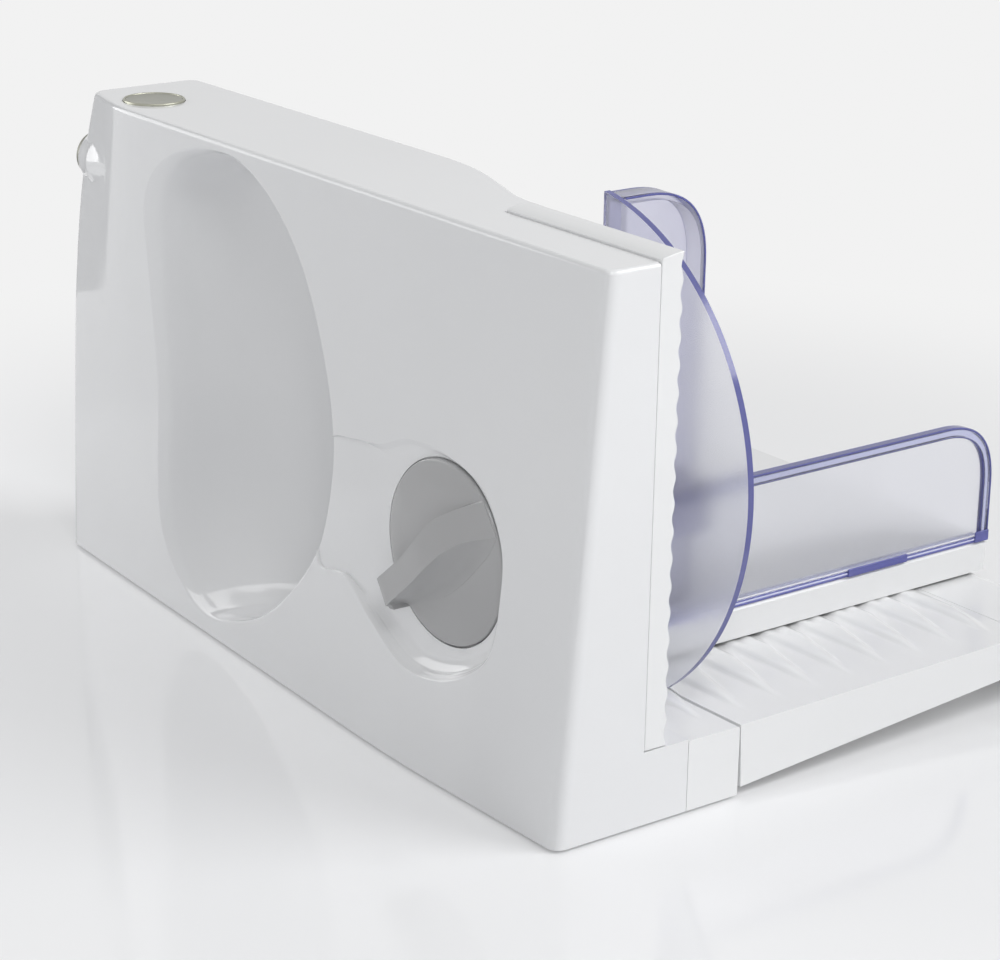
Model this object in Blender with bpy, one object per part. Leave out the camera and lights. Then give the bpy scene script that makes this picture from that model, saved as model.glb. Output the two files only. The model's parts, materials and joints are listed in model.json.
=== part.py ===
"""Electric food slicer with a serrated round blade, folding table and sliding carriage.

Layout frame, in millimetres: the near bottom corner of the housing is the origin, +X runs
along the blade towards the motor end, -Y is the food side, +Y is the side where the slices
come out, +Z is up. The last step hangs everything on one root that moves the middle of the
object's footprint to the world's origin.
"""
import math

import bmesh
import bpy
from mathutils import Matrix, Vector

MM = 0.001

# Clearances
SEAM = 0.3              # between two fixed pieces that touch
RUNNING = 0.08          # radial, between a shaft and its bore
SLIDE_GAP = 0.4         # between a sliding piece and its guide

# Housing shell
HOUSING_TOP = 203.2     # height of the flat top
HOUSING_FOOT = 1.0      # lower rim of the shell above the table top
WALL = 2.8              # shell thickness
FACE_FOOT_Y = 2.1       # slanted output face at the foot, near end
FACE_TOP_Y = -14.5      # the same face at the top
FACE_BEND_X = 98.0      # the foot line turns inwards from here on
FAR_FACE_X = 315.7      # start of the chamfer to the far end
FAR_FOOT_X = 368.0      # far end at the foot
FAR_LEAN = 19.5         # how far the far end leans in at the top
FAR_BULGE = 4.2         # how late that lean sets in
RING_SHARES = (0.5, 0.66, 0.8, 0.91)  # heights of the shell's rings, as shares of its height
FAR_FOOT_Y = -17.5
FAR_TOP_Y = -22.7
FRONT_Y = -72.3         # food side face of the motor part
SWEEP_START_X = 148.0   # the food side sweeps back from here towards the slice gap
SWEEP_END = (99.0, -54.6)
TOP_ROUND = 3.6         # rounding of the top edge
LEDGE_TOP = 28.6        # foot ledge in front of the stop plate
BLOCK_SEAM_Y = -56.6    # seam to the hinge block
NOTCH_TOP = 29.3        # the motor part overhangs the hinge block above this height

BASE_FOOT = 2.2         # underside of the base plate
BASE_TOP = 4.8
BASE_FEET = ((16.0, -12.0), (16.0, -44.0), (344.0, -28.5), (344.0, -44.0))
GLAND_Y = -44.0         # cord inlet at the far end's foot
GLAND_Z = 16.0
GLAND_R = 5.5
CORD_BORE_R = 2.9

# Stop plate
STOP_LENGTH = 84.0      # along the blade
STOP_BACK_Y = -36.6
STOP_CREST_Y = -46.2    # crest of the ripples, plate drawn back for the thickest slice
STOP_FOOT = 29.0
STOP_TOP = 205.9
STOP_WALL = 2.2
RIPPLE_DEPTH = 1.5
RIPPLES = 18
STOP_TRAVEL = 24.0
ROD_R = 3.0
ROD_X = 24.0
ROD_HEIGHTS = (52.0, 96.0)
ROD_REACH = STOP_TRAVEL + 3.0  # length of a guide rod behind the plate

# Blade
BLADE_R = 83.0
BLADE_X = 173.5
BLADE_Z = 116.5
BLADE_FRONT_Y = -71.0
BLADE_THICK = 1.8
BLADE_SCALLOPS = 32
SCALLOP_DEPTH = 1.6
BEVEL_WIDTH = 9.0
RECESS_R = 84.0
RECESS_FLOOR_Y = -68.0
PANEL_BACK_Y = -65.0
PANEL_NEAR_X = 134.0
HUB_R = 6.0             # blade shaft where it carries blade and drive gear
JOURNAL_R = 4.0
BUSH_R = 6.5

# Slice outlet
OUTLET_EDGE = ((283.0, 95.0), (289.0, 135.0), (292.0, 172.0), (266.0, 193.5), (222.0, 197.5), (180.0, 170.0),
               (153.0, 118.0), (153.0, 76.0), (168.0, 48.0), (203.0, 19.5), (248.0, 9.5), (281.0, 35.0))
OUTLET_LIP = 3.6        # crisp straight edge on the near side before the chute undercuts it
# Far side of the chute as (share of the depth, share of the way to the slice gap): a soft roll
# out of the output face, a steep wall, then the long back wall.
CHUTE_PROFILE = ((0.012, 0.012), (0.05, 0.045), (0.13, 0.075), (0.3, 0.12), (0.5, 0.22), (0.66, 0.44),
                 (0.8, 0.71), (1.0, 1.0))
GAP_NEAR_X = STOP_LENGTH + 1.0
GAP_FAR_X = 113.0
GAP_FOOT = 34.0
GAP_TOP = 186.0
CHUTE_DEEP_Y = -60.0

# Thickness dial
DIAL_X = 78.0
DIAL_Z = 84.6
DIAL_R = 34.0
DIAL_FACE_Y = -7.0
DIAL_FLOOR_Y = -9.8
DIAL_GAP = 0.7
SPINDLE_R = 3.0
NUT_BACK_Y = -15.6      # inner end of the half nut, plate drawn back
NUT_NEAR_X = 64.0
NUT_HEIGHT = 14.0
GRIP_ANGLE = -36.0      # rest position of the wing on the dial
GRIP_OVERHANG = 4.0     # of the wing's tip beyond the dial's rim
GRIP_HEIGHT = 11.0
FACE_CLEARANCE = 0.8    # between the overhanging tip and the output face
# Edge of the dish on the output face: two lips that run out towards the slice outlet.
DISH_EDGE = ((157.0, 82.0), (153.0, 106.0), (136.5, 111.0), (119.0, 113.5), (101.0, 120.6), (79.0, 120.5),
             (57.3, 114.2), (44.2, 97.4), (42.4, 78.0), (45.5, 58.0), (57.0, 46.5), (76.0, 38.5),
             (97.0, 37.8), (119.0, 48.3), (137.0, 58.5), (156.0, 58.0))
DISH_SOFT_X = (118.0, 132.0)  # the dish's wall turns from a lip into a soft ramp between these

# Buttons
TOP_BUTTON = (317.6, -33.9)
TOP_BUTTON_R = 12.6
TOP_BUTTON_RISE = 0.9
TOP_BUTTON_LENGTH = 8.0
SIDE_BUTTON_Y = -31.0
SIDE_BUTTON_Z = HOUSING_TOP - 29.7
SIDE_BUTTON_R = 10.0
SIDE_BUTTON_X = 360.5
SIDE_BUTTON_LENGTH = 12.0
BOSS_R = 17.0           # rounded boss round the side button
BUTTON_TRAVEL = 3.0
SWITCH_SIZE = (20.0, 7.0, 12.0)
BUTTON_GAP = 0.25

# Gear train
GEAR_MODULE = 1.75
DRIVE_TEETH = 40
SMALL_TEETH = 12
LARGE_TEETH = 34
MOTOR_TEETH = 10
GEAR_THICK = 4.8
GEAR_FRONT_Y = PANEL_BACK_Y + 0.6
PLATE_THICK = 2.0
PLATE_MARGIN = 48.0     # of the gear plate above and below the axles
MOTOR_R = 21.0
MOTOR_SHAFT_R = 2.5
MOTOR_LENGTH = 28.0

# Hinge block and folding table
BLOCK_FRONT_Y = -80.7
BLOCK_TOP = 28.0
SLICER_LENGTH = 345.0   # block and table along the blade
TABLE_GAP = 1.5         # between the block and the table
TABLE_BACK_Y = BLOCK_FRONT_Y - TABLE_GAP
TABLE_DEPTH = 145.8     # from the hinge to the seam of the end cap
TABLE_SEAM_Y = TABLE_BACK_Y - TABLE_DEPTH
END_CAP_DEPTH = 35.0
TABLE_END_Y = TABLE_SEAM_Y - END_CAP_DEPTH
TABLE_TOP_BACK = 28.0
TABLE_TOP_FRONT = 29.4
TABLE_FOOT_BACK = 3.8
TABLE_FOOT_FRONT = 14.8
TABLE_WALL = 2.6
RIB_PITCH = 18.0
RIB_HEIGHT = 1.1
RIM_WIDTH = 8.0
KNUCKLE_R = 2.6
KNUCKLE_Y = (BLOCK_FRONT_Y + TABLE_BACK_Y) / 2
KNUCKLE_Z = 25.2
TABLE_FOOT_R = 11.0
TABLE_FOOT_INSET = 26.0  # of the table's feet from its ends
HINGE_PIN_R = 1.25
HINGE_STARTS = (72.0, 240.0)
KNUCKLE_LENGTH = 12.0

# Carriage
CARRIAGE_NEAR_X = 57.5
CARRIAGE_LENGTH = 200.0
CARRIAGE_BACK_Y = -78.2
CARRIAGE_FRONT_Y = TABLE_END_Y - 2.9
CARRIAGE_FOOT = 31.0
CARRIAGE_TOP = 43.5
CARRIAGE_WALL = 2.6
RAIL_Y = -90.6
RAIL_WIDTH = 8.0
RAIL_TOP = 36.5
RAIL_END = 22.0         # between the rail and the table's far end
CLEAR_THICK = 2.6       # walls of the transparent pieces
WALL_TOP = 95.0         # top of the low back wall
WALL_FRONT_Y = CARRIAGE_FRONT_Y + 2.0
WALL_CORNER_R = 27.0
GUARD_BACK_Y = -74.5
GUARD_X = 92.5          # centre of the half round guard's arc
GUARD_Z = 110.5
GUARD_R = 98.0
GUARD_CHORD_X = 77.0
GUARD_FOOT = 31.3
HOLDER_FRONT_Y = -124.4
HOLDER_TOP = 206.0
HOLDER_CORNER_R = 28.0
HOLDER_RIM = 8.0
HOOK_REACH = 16.0       # how far the holder's hook reaches down behind the low wall


# Mesh helpers
def clear_scene():
    for obj in list(bpy.data.objects):
        bpy.data.objects.remove(obj, do_unlink=True)


def material(name, colour, roughness, metallic=0.0, alpha=1.0):
    mat = bpy.data.materials.new(name)
    mat.use_nodes = True
    shader = mat.node_tree.nodes["Principled BSDF"]
    shader.inputs["Base Color"].default_value = (*colour, 1.0)
    shader.inputs["Roughness"].default_value = roughness
    shader.inputs["Metallic"].default_value = metallic
    shader.inputs["Alpha"].default_value = alpha
    return mat


def finish_mesh(bm, name):
    bmesh.ops.remove_doubles(bm, verts=bm.verts, dist=1e-7)
    bmesh.ops.recalc_face_normals(bm, faces=bm.faces)
    mesh = bpy.data.meshes.new(name)
    bm.to_mesh(mesh)
    bm.free()
    return mesh


def add_object(name, mesh, mat=None, pivot=(0.0, 0.0, 0.0), smooth=30.0):
    """Link a mesh given in layout millimetres, with the object's origin at pivot."""
    mesh.transform(Matrix.Translation(-Vector(pivot)))
    mesh.transform(Matrix.Scale(MM, 4))
    obj = bpy.data.objects.new(name, mesh)
    obj.location = Vector(pivot) * MM
    bpy.context.scene.collection.objects.link(obj)
    if mat is not None:
        mesh.materials.append(mat)
    mesh.shade_smooth()
    mesh.set_sharp_from_angle(angle=math.radians(smooth))
    return obj


def hide_cutter(obj):
    obj.hide_render = True
    obj.display_type = 'WIRE'
    return obj


def combine(obj, other, operation):
    hide_cutter(other)
    mod = obj.modifiers.new(operation.title(), 'BOOLEAN')
    mod.operation = operation
    mod.solver = 'EXACT'
    mod.object = other
    return obj


def cut(obj, *cutters):
    for cutter in cutters:
        combine(obj, cutter, 'DIFFERENCE')
    return obj


def join(obj, *others):
    for other in others:
        combine(obj, other, 'UNION')
    return obj


def loft_mesh(rings, name="loft"):
    """Skin closed rings of equal length and cap both ends."""
    bm = bmesh.new()
    rows = [[bm.verts.new(p) for p in ring] for ring in rings]
    count = len(rows[0])
    for low, high in zip(rows, rows[1:]):
        for i in range(count):
            j = (i + 1) % count
            bm.faces.new((low[i], low[j], high[j], high[i]))
    bm.faces.new(rows[0])
    bm.faces.new(rows[-1])
    return finish_mesh(bm, name)


def prism_x(outline, x0, x1):
    return loft_mesh([[(x, y, z) for y, z in outline] for x in (x0, x1)])


def prism_y(outline, y0, y1):
    return loft_mesh([[(x, y, z) for x, z in outline] for y in (y0, y1)])


def prism_z(outline, z0, z1):
    return loft_mesh([[(x, y, z) for x, y in outline] for z in (z0, z1)])


def box(x0, x1, y0, y1, z0, z1):
    return prism_z([(x0, y0), (x1, y0), (x1, y1), (x0, y1)], z0, z1)


def circle(cx, cy, r, count, phase=0.0):
    step = 2 * math.pi / count
    return [(cx + r * math.cos(phase + i * step), cy + r * math.sin(phase + i * step)) for i in range(count)]


def turned(axis, centre, profile, count=16):
    """Turn a profile of (position along the axis, radius) steps about axis 'X', 'Y' or 'Z'."""
    rings = []
    for along, radius in profile:
        ring = circle(0.0, 0.0, radius, count)
        if axis == 'X':
            rings.append([(along, centre[0] + a, centre[1] + b) for a, b in ring])
        elif axis == 'Y':
            rings.append([(centre[0] + a, along, centre[1] + b) for a, b in ring])
        else:
            rings.append([(centre[0] + a, centre[1] + b, along) for a, b in ring])
    return loft_mesh(rings)


def pin(axis, centre, start, end, radius, count=16):
    """A plain round bar along axis 'X', 'Y' or 'Z'."""
    return turned(axis, centre, [(start, radius), (end, radius)], count)


def bore(obj, name, axis, centre, start, end, radius, count=16):
    """Cut a plain round hole into an object."""
    return cut(obj, add_object(name, pin(axis, centre, start, end, radius, count)))


def rounded(corners, least=3):
    """Round each (x, y, reach) corner by a curve that starts and ends reach from it."""
    points = []
    count = len(corners)
    for i, (x, y, reach) in enumerate(corners):
        here = Vector((x, y))
        if reach <= 0.0:
            points.append((x, y))
            continue
        before = Vector(corners[i - 1][:2])
        after = Vector(corners[(i + 1) % count][:2])
        start = here + (before - here).normalized() * reach
        end = here + (after - here).normalized() * reach
        steps = max(least, round(reach / 5.0))
        for k in range(steps + 1):
            s = k / steps
            p = start * (1 - s) ** 2 + here * 2 * s * (1 - s) + end * s ** 2
            points.append((p.x, p.y))
    return points


def inset(points, distance):
    """Move every side of a closed outline inwards by distance."""
    if distance == 0.0:
        return list(points)
    area = sum(a[0] * b[1] - b[0] * a[1] for a, b in zip(points, points[1:] + points[:1]))
    side = 1.0 if area > 0 else -1.0
    result = []
    count = len(points)
    for i, p in enumerate(points):
        a = Vector(p) - Vector(points[i - 1])
        b = Vector(points[(i + 1) % count]) - Vector(p)
        na = Vector((-a.y, a.x)).normalized() * side
        nb = Vector((-b.y, b.x)).normalized() * side
        mid = (na + nb).normalized()
        shift = mid * (distance / max(mid.dot(na), 0.5))
        result.append((p[0] + shift.x, p[1] + shift.y))
    return result


def mix(a, b, t):
    return a + (b - a) * t


def spline(p0, p1, p2, p3, t):
    """Point at t between p1 and p2 on the curve through all four."""
    point = []
    for a, b, c, d in zip(p0, p1, p2, p3):
        square = 2 * a - 5 * b + 4 * c - d
        cube = 3 * b - a - 3 * c + d
        point.append(0.5 * (2 * b + (c - a) * t + square * t * t + cube * t ** 3))
    return tuple(point)


def closed_curve(points, steps):
    """Smooth closed curve through the points, with steps parts from one to the next."""
    count = len(points)
    return [spline(points[i - 1], points[i], points[(i + 1) % count], points[(i + 2) % count], k / steps)
            for i in range(count) for k in range(steps)]


def open_curve(points, parts):
    """Smooth curve from the first to the last point, cut into equal parts."""
    padded = [points[0]] + list(points) + [points[-1]]
    curve = []
    for k in range(parts + 1):
        s = min(k / parts * (len(points) - 1), len(points) - 1.000001)
        i = int(s)
        curve.append(spline(*padded[i:i + 4], s - i))
    return curve


# Housing
def far_end_x(z):
    return FAR_FOOT_X - FAR_LEAN * max(0.0, z / HOUSING_TOP) ** FAR_BULGE


def output_face_y(x, z):
    """The slanted output face, which stands upright only at the far end."""
    foot = FACE_FOOT_Y
    if x > FACE_BEND_X:
        slope = (FAR_FOOT_Y - FACE_FOOT_Y) / (FAR_FOOT_X - FACE_BEND_X)
        foot += slope * (x - FACE_BEND_X)
    return mix(foot, FACE_TOP_Y, z / HOUSING_TOP)


def housing_outline(z):
    t = z / HOUSING_TOP
    far_x = far_end_x(z)
    return rounded([
        (0.0, output_face_y(0.0, z), 7.0),
        (FACE_BEND_X, output_face_y(FACE_BEND_X, z), 30.0),
        (FAR_FACE_X, output_face_y(FAR_FACE_X, z), 15.0),
        (far_x, mix(FAR_FOOT_Y, FAR_TOP_Y, t), 6.0),
        (far_x, FRONT_Y, 6.0),
        (SWEEP_START_X, FRONT_Y, 22.0),
        (SWEEP_END[0], SWEEP_END[1], 9.0),
        (0.0, SWEEP_END[1], 0.0),
    ])


def housing_body(inward, foot, name):
    """The outer form of the housing, or its inner form when set inwards by the wall."""
    top = HOUSING_TOP - inward
    rings = []
    for z in [foot] + [share * HOUSING_TOP for share in RING_SHARES]:
        rings.append([(x, y, z) for x, y in inset(housing_outline(z), inward)])
    curve = TOP_ROUND if inward == 0.0 else 1.0
    for k in range(4):
        a = k / 3 * math.pi / 2
        z = top - curve + curve * math.sin(a)
        outline = inset(housing_outline(z), inward + curve * (1 - math.cos(a)))
        rings.append([(x, y, z) for x, y in outline])
    return loft_mesh(rings, name)


def offset_rings(rings, distance):
    """Move the rings of an open sleeve outwards, square to its surface."""
    last = len(rings) - 1
    middle = sum((Vector(p) for p in rings[0]), Vector()) / len(rings[0])
    moved = []
    for r, ring in enumerate(rings):
        row = []
        for i, p in enumerate(ring):
            around = Vector(ring[(i + 1) % len(ring)]) - Vector(ring[i - 1])
            along = Vector(rings[min(r + 1, last)][i]) - Vector(rings[max(r - 1, 0)][i])
            row.append(around.cross(along).normalized())
        moved.append(row)
    side = 1.0 if moved[0][0].dot(Vector(rings[0][0]) - middle) > 0 else -1.0
    shift = side * distance
    return [[tuple(Vector(p) + n * shift) for p, n in zip(ring, row)] for ring, row in zip(rings, moved)]


def at_y(ring, y):
    return [(x, y, z) for x, _, z in ring]


def shifted_y(ring, distance):
    return [(x, y + distance, z) for x, y, z in ring]


def outlet_ring(depth, far_share):
    """One ring of the slice chute, from the output face (depth 0) to the slice gap (depth 1)."""
    lip = OUTLET_LIP / (FACE_TOP_Y - CHUTE_DEEP_Y)
    near_share = max(0.0, (depth - lip) / (1 - lip))
    edge = closed_curve(OUTLET_EDGE, 3)
    low_x, high_x = min(x for x, _ in edge), max(x for x, _ in edge)
    ring = []
    for i, (x, z) in enumerate(edge):
        a = 2 * math.pi * i / len(edge)
        gap_x = (GAP_NEAR_X + GAP_FAR_X) / 2
        gap_x += (GAP_FAR_X - GAP_NEAR_X) / 2 * math.copysign(abs(math.cos(a)) ** 0.7, math.cos(a))
        gap_z = (GAP_FOOT + GAP_TOP) / 2
        gap_z += (GAP_TOP - GAP_FOOT) / 2 * math.copysign(abs(math.sin(a)) ** 0.9, math.sin(a))
        inner_x = mix(x, gap_x, mix(near_share, far_share, (x - low_x) / (high_x - low_x)))
        inner_z = mix(z, gap_z, depth)
        ring.append((inner_x, mix(output_face_y(inner_x, inner_z), CHUTE_DEEP_Y, depth), inner_z))
    return ring


def chute_body(thickness):
    """The chute's hollow, or with a thickness the room that its walls keep free."""
    rings = [outlet_ring(depth, far_share) for depth, far_share in CHUTE_PROFILE]
    if thickness > 0.0:
        rings = rings[::2] + rings[-1:]
        rings = offset_rings(rings, thickness)
        rings.append(at_y(rings[-1], CHUTE_DEEP_Y - 2 * thickness))
    else:
        rings.append(shifted_y(rings[-1], -30.0))
    return loft_mesh([shifted_y(rings[0], 12.0)] + rings, "chute")


def dish_rings(grow):
    """Rings of the dish, from its edge on the output face down to its floor."""
    inner = DIAL_R + DIAL_GAP
    steps = ((0.04, 0.0, 0.0, 0.0), (0.45, 1.2, 0.3, 18.0), (0.85, 4.0, 0.65, 10.5), (1.0, 8.0, 0.95, 3.5))
    rings = []
    for share, lip_width, most, ramp in steps:
        ring = []
        for x, z in closed_curve(DISH_EDGE, 2):
            out = Vector((x - DIAL_X, z - DIAL_Z))
            room = out.length - inner
            soft = min(1.0, max(0.0, (x - DISH_SOFT_X[0]) / (DISH_SOFT_X[1] - DISH_SOFT_X[0])))
            width = mix(min(lip_width, most * room), max(0.0, room - ramp), soft) if share > 0.1 else 0.0
            r = out.length - width + grow
            x1, z1 = DIAL_X + out.x / out.length * r, DIAL_Z + out.y / out.length * r
            ring.append((x1, mix(output_face_y(x1, z1), DIAL_FLOOR_Y, share) - grow, z1))
        rings.append(ring)
    return rings


def dish_body(grow):
    """The dished hollow that the dial sits in, or the room that its walls keep free."""
    rings = dish_rings(grow)
    return loft_mesh([shifted_y(rings[0], 12.0)] + rings, "dish")


def stop_wall_cutters():
    """Bores through the wall behind the stop plate, for its guide rods and the nut."""
    y0, y1 = STOP_BACK_Y - 4.0, STOP_BACK_Y + 26.0
    bores = [pin('Y', (ROD_X, z), y0, y1, ROD_R + RUNNING) for z in ROD_HEIGHTS]
    reach = NUT_HEIGHT / 2 + SLIDE_GAP
    bores.append(box(NUT_NEAR_X - SLIDE_GAP, nut_far_x() + SLIDE_GAP, y0, STOP_BACK_Y + WALL + 4.0,
                     DIAL_Z - reach, DIAL_Z + reach))
    return bores


def make_housing(mats):
    shell = add_object("main_housing", housing_body(0.0, HOUSING_FOOT, "main_housing"), mats["white_gloss"])
    ledge = add_object("ledge_form", box(0.0, SWEEP_START_X - 20.0, STOP_BACK_Y + 4.0, BLOCK_SEAM_Y,
                                         HOUSING_FOOT, LEDGE_TOP))
    ring_r = SIDE_BUTTON_R + 2.0
    boss = add_object("boss_form", turned('X', (SIDE_BUTTON_Y, SIDE_BUTTON_Z), [
        (FAR_FACE_X - 6.0, BOSS_R), (SIDE_BUTTON_X - 14.0, BOSS_R), (SIDE_BUTTON_X - 8.0, BOSS_R - 0.9),
        (SIDE_BUTTON_X - 4.5, mix(BOSS_R, ring_r, 0.55)), (SIDE_BUTTON_X - 2.2, ring_r),
        (SIDE_BUTTON_X - 1.6, ring_r - 0.7)], 40))
    join(shell, ledge, boss)
    hollow = add_object("hollow_form", housing_body(WALL, -2.0, "hollow"))
    join(hollow, add_object("ledge_hollow_form", box(WALL, SWEEP_START_X - 22.0, STOP_BACK_Y + 6.0,
                                                     BLOCK_SEAM_Y + WALL, -20.0, LEDGE_TOP - WALL)))
    cut(hollow, add_object("chute_wall_form", chute_body(WALL)))
    beyond_x = FAR_FOOT_X + 9.0
    cut(hollow, add_object("notch_wall_form", box(-9.0, beyond_x, FRONT_Y - 9.0, BLOCK_SEAM_Y + WALL,
                                                  -30.0, NOTCH_TOP + 2 * WALL)))
    cut(hollow, add_object("dish_wall_form", dish_body(WALL)))
    for z in ROD_HEIGHTS:
        bore(hollow, "rod_boss_form", 'Y', (ROD_X, z), STOP_BACK_Y - 2.0, STOP_BACK_Y + 12.0, ROD_R + 3.0, 24)
    bore(hollow, "bearing_boss_form", 'Y', (BLADE_X, BLADE_Z), -59.0, -40.0, 9.5, 28)
    for i, shelf in enumerate(switch_shelves()):
        cut(hollow, add_object(f"switch_shelf_form_{i}", shelf))
    bay_y = STOP_BACK_Y + SEAM
    cut(hollow, add_object("bay_wall_form", box(-9.0, GAP_NEAR_X + WALL, FRONT_Y - 9.0, bay_y + WALL,
                                                LEDGE_TOP - WALL, HOUSING_TOP + 9.0)))
    cut(shell, hollow)
    cut(shell, add_object("bay_form", box(-9.0, GAP_NEAR_X, FRONT_Y - 9.0, bay_y,
                                          LEDGE_TOP, HOUSING_TOP + 9.0)))
    cut(shell, add_object("notch_form", box(-9.0, beyond_x, FRONT_Y - 9.0, BLOCK_SEAM_Y, -30.0, NOTCH_TOP)))
    cut(shell, add_object("chute_form", chute_body(0.0)))
    cut(shell, add_object("dish_form", dish_body(0.0)))
    bore(shell, "recess_form", 'Y', (BLADE_X, BLADE_Z), RECESS_FLOOR_Y, -90.0, RECESS_R, 60)
    cut(shell, add_object("panel_seat_form", panel_zone(SEAM)))
    for i, form in enumerate(stop_wall_cutters()):
        cut(shell, add_object(f"stop_bore_form_{i}", form))
    bore(shell, "dial_bore_form", 'Y', (DIAL_X, DIAL_Z), 20.0, -20.0, SPINDLE_R + RUNNING)
    bore(shell, "bearing_bore_form", 'Y', (BLADE_X, BLADE_Z), -70.0, -51.8, BUSH_R + SEAM)
    bore(shell, "top_button_bore_form", 'Z', TOP_BUTTON, HOUSING_TOP - 9.0, HOUSING_TOP + 9.0,
         TOP_BUTTON_R + BUTTON_GAP, 32)
    start = SIDE_BUTTON_X - SIDE_BUTTON_LENGTH - BUTTON_TRAVEL - 1.0
    bore(shell, "side_button_bore_form", 'X', (SIDE_BUTTON_Y, SIDE_BUTTON_Z), start, SIDE_BUTTON_X + 9.0,
         SIDE_BUTTON_R + BUTTON_GAP, 28)
    bore(shell, "gland_bore_form", 'X', (GLAND_Y, GLAND_Z), FAR_FOOT_X - 12.0, beyond_x, GLAND_R + SEAM, 24)
    return shell


def panel_zone(grow):
    """The blade side panel's field: inside the shell's rim, in front of the gear room."""
    rings = []
    for y in (PANEL_BACK_Y + grow, FRONT_Y - 9.0):
        ring = [(PANEL_NEAR_X - grow, y, NOTCH_TOP + WALL + SEAM - grow)]
        ring.append((far_end_x(NOTCH_TOP) - WALL - SEAM + grow, y, NOTCH_TOP + WALL + SEAM - grow))
        for z in [share * HOUSING_TOP for share in RING_SHARES]:
            ring.append((far_end_x(z) - WALL - SEAM + grow, y, z))
        ring.append((far_end_x(HOUSING_TOP) - WALL - SEAM + grow, y, HOUSING_TOP - WALL - SEAM + grow))
        ring.append((PANEL_NEAR_X - grow, y, HOUSING_TOP - WALL - SEAM + grow))
        rings.append(ring)
    return loft_mesh(rings, "panel_zone")


def make_panel(mats):
    panel = add_object("blade_side_panel", panel_zone(0.0), mats["white_satin"])
    combine(panel, add_object("panel_face_form", housing_body(0.0, HOUSING_FOOT, "panel_face")), 'INTERSECT')
    for i, (x, z) in enumerate(plate_posts()):
        join(panel, add_object(f"post_form_{i}", turned('Y', (x, z), [
            (PANEL_BACK_Y - 1.0, 4.5), (plate_front_y() - SEAM, 4.0)], 12)))
    bore(panel, "panel_recess_form", 'Y', (BLADE_X, BLADE_Z), RECESS_FLOOR_Y, -90.0, RECESS_R, 60)
    bore(panel, "panel_hub_form", 'Y', (BLADE_X, BLADE_Z), -90.0, -50.0, 9.0)
    return panel


def make_base(mats):
    far_x = far_end_x(BASE_TOP)
    form = rounded([
        (0.0, output_face_y(0.0, BASE_TOP), 7.0),
        (FACE_BEND_X, output_face_y(FACE_BEND_X, BASE_TOP), 30.0),
        (FAR_FACE_X, output_face_y(FAR_FACE_X, BASE_TOP), 15.0),
        (far_x, mix(FAR_FOOT_Y, FAR_TOP_Y, BASE_TOP / HOUSING_TOP), 6.0),
        (far_x, BLOCK_SEAM_Y, 7.0),
        (0.0, BLOCK_SEAM_Y, 7.0),
    ])
    outline = inset(form, WALL + SEAM)
    base = add_object("base_plate", prism_z(outline, BASE_FOOT, BASE_TOP), mats["grey_plastic"])
    for i, (x, y) in enumerate(BASE_FEET):
        add_object(f"base_foot_{i + 1}", turned('Z', (x, y), [
            (0.0, 5.5), (1.0, 6.5), (BASE_FOOT - SEAM, 6.5)], 12), mats["rubber"])
    return base


# Stop plate and dial
def make_stop_plate(mats):
    height = STOP_TOP - STOP_FOOT
    samples = RIPPLES * 4
    front = []
    for i in range(samples + 1):
        z = STOP_FOOT + height * i / samples
        wave = 0.5 - 0.5 * math.cos(2 * math.pi * RIPPLES * i / samples)
        front.append((STOP_CREST_Y + RIPPLE_DEPTH * (1 - wave), z))
    outline = front + [(STOP_BACK_Y, STOP_TOP), (STOP_BACK_Y, STOP_FOOT)]
    plate = add_object("stop_plate", prism_x(outline, 0.0, STOP_LENGTH), mats["white_satin"])
    tray = box(STOP_WALL, STOP_LENGTH - STOP_WALL, STOP_CREST_Y + RIPPLE_DEPTH + STOP_WALL, STOP_BACK_Y + 5.0,
               STOP_FOOT + STOP_WALL, STOP_TOP - STOP_WALL)
    hollow = add_object("stop_tray_form", tray)
    floor_y = STOP_CREST_Y + RIPPLE_DEPTH + STOP_WALL
    for i, z in enumerate(ROD_HEIGHTS):
        bore(hollow, f"rod_socket_form_{i}", 'Y', (ROD_X, z), floor_y - 1.0, STOP_BACK_Y + 6.0, 6.5, 24)
    cut(plate, hollow)
    for i, z in enumerate(ROD_HEIGHTS):
        bore(plate, f"rod_seat_form_{i}", 'Y', (ROD_X, z), floor_y, STOP_BACK_Y + 5.0, ROD_R + SEAM)
        rod = pin('Y', (ROD_X, z), floor_y + SEAM, STOP_BACK_Y + ROD_REACH, ROD_R)
        add_object(f"guide_rod_{i + 1}", rod, mats["steel"])
    nut = prism_y(nut_outline(), floor_y + SEAM, NUT_BACK_Y)
    add_object("thickness_nut", nut, mats["grey_plastic"])
    return plate


def nut_far_x():
    return STOP_LENGTH - STOP_WALL - SLIDE_GAP


def nut_outline():
    """Half nut that grips the spindle from three sides, open towards the blade."""
    low, high = DIAL_Z - NUT_HEIGHT / 2, DIAL_Z + NUT_HEIGHT / 2
    bore = SPINDLE_R + RUNNING
    outline = [(NUT_NEAR_X, high), (NUT_NEAR_X, low), (nut_far_x(), low), (nut_far_x(), DIAL_Z - bore)]
    for k in range(13):
        a = math.radians(-90.0 - 15.0 * k)
        outline.append((DIAL_X + bore * math.cos(a), DIAL_Z + bore * math.sin(a)))
    outline += [(nut_far_x(), DIAL_Z + bore), (nut_far_x(), high)]
    return outline


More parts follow.
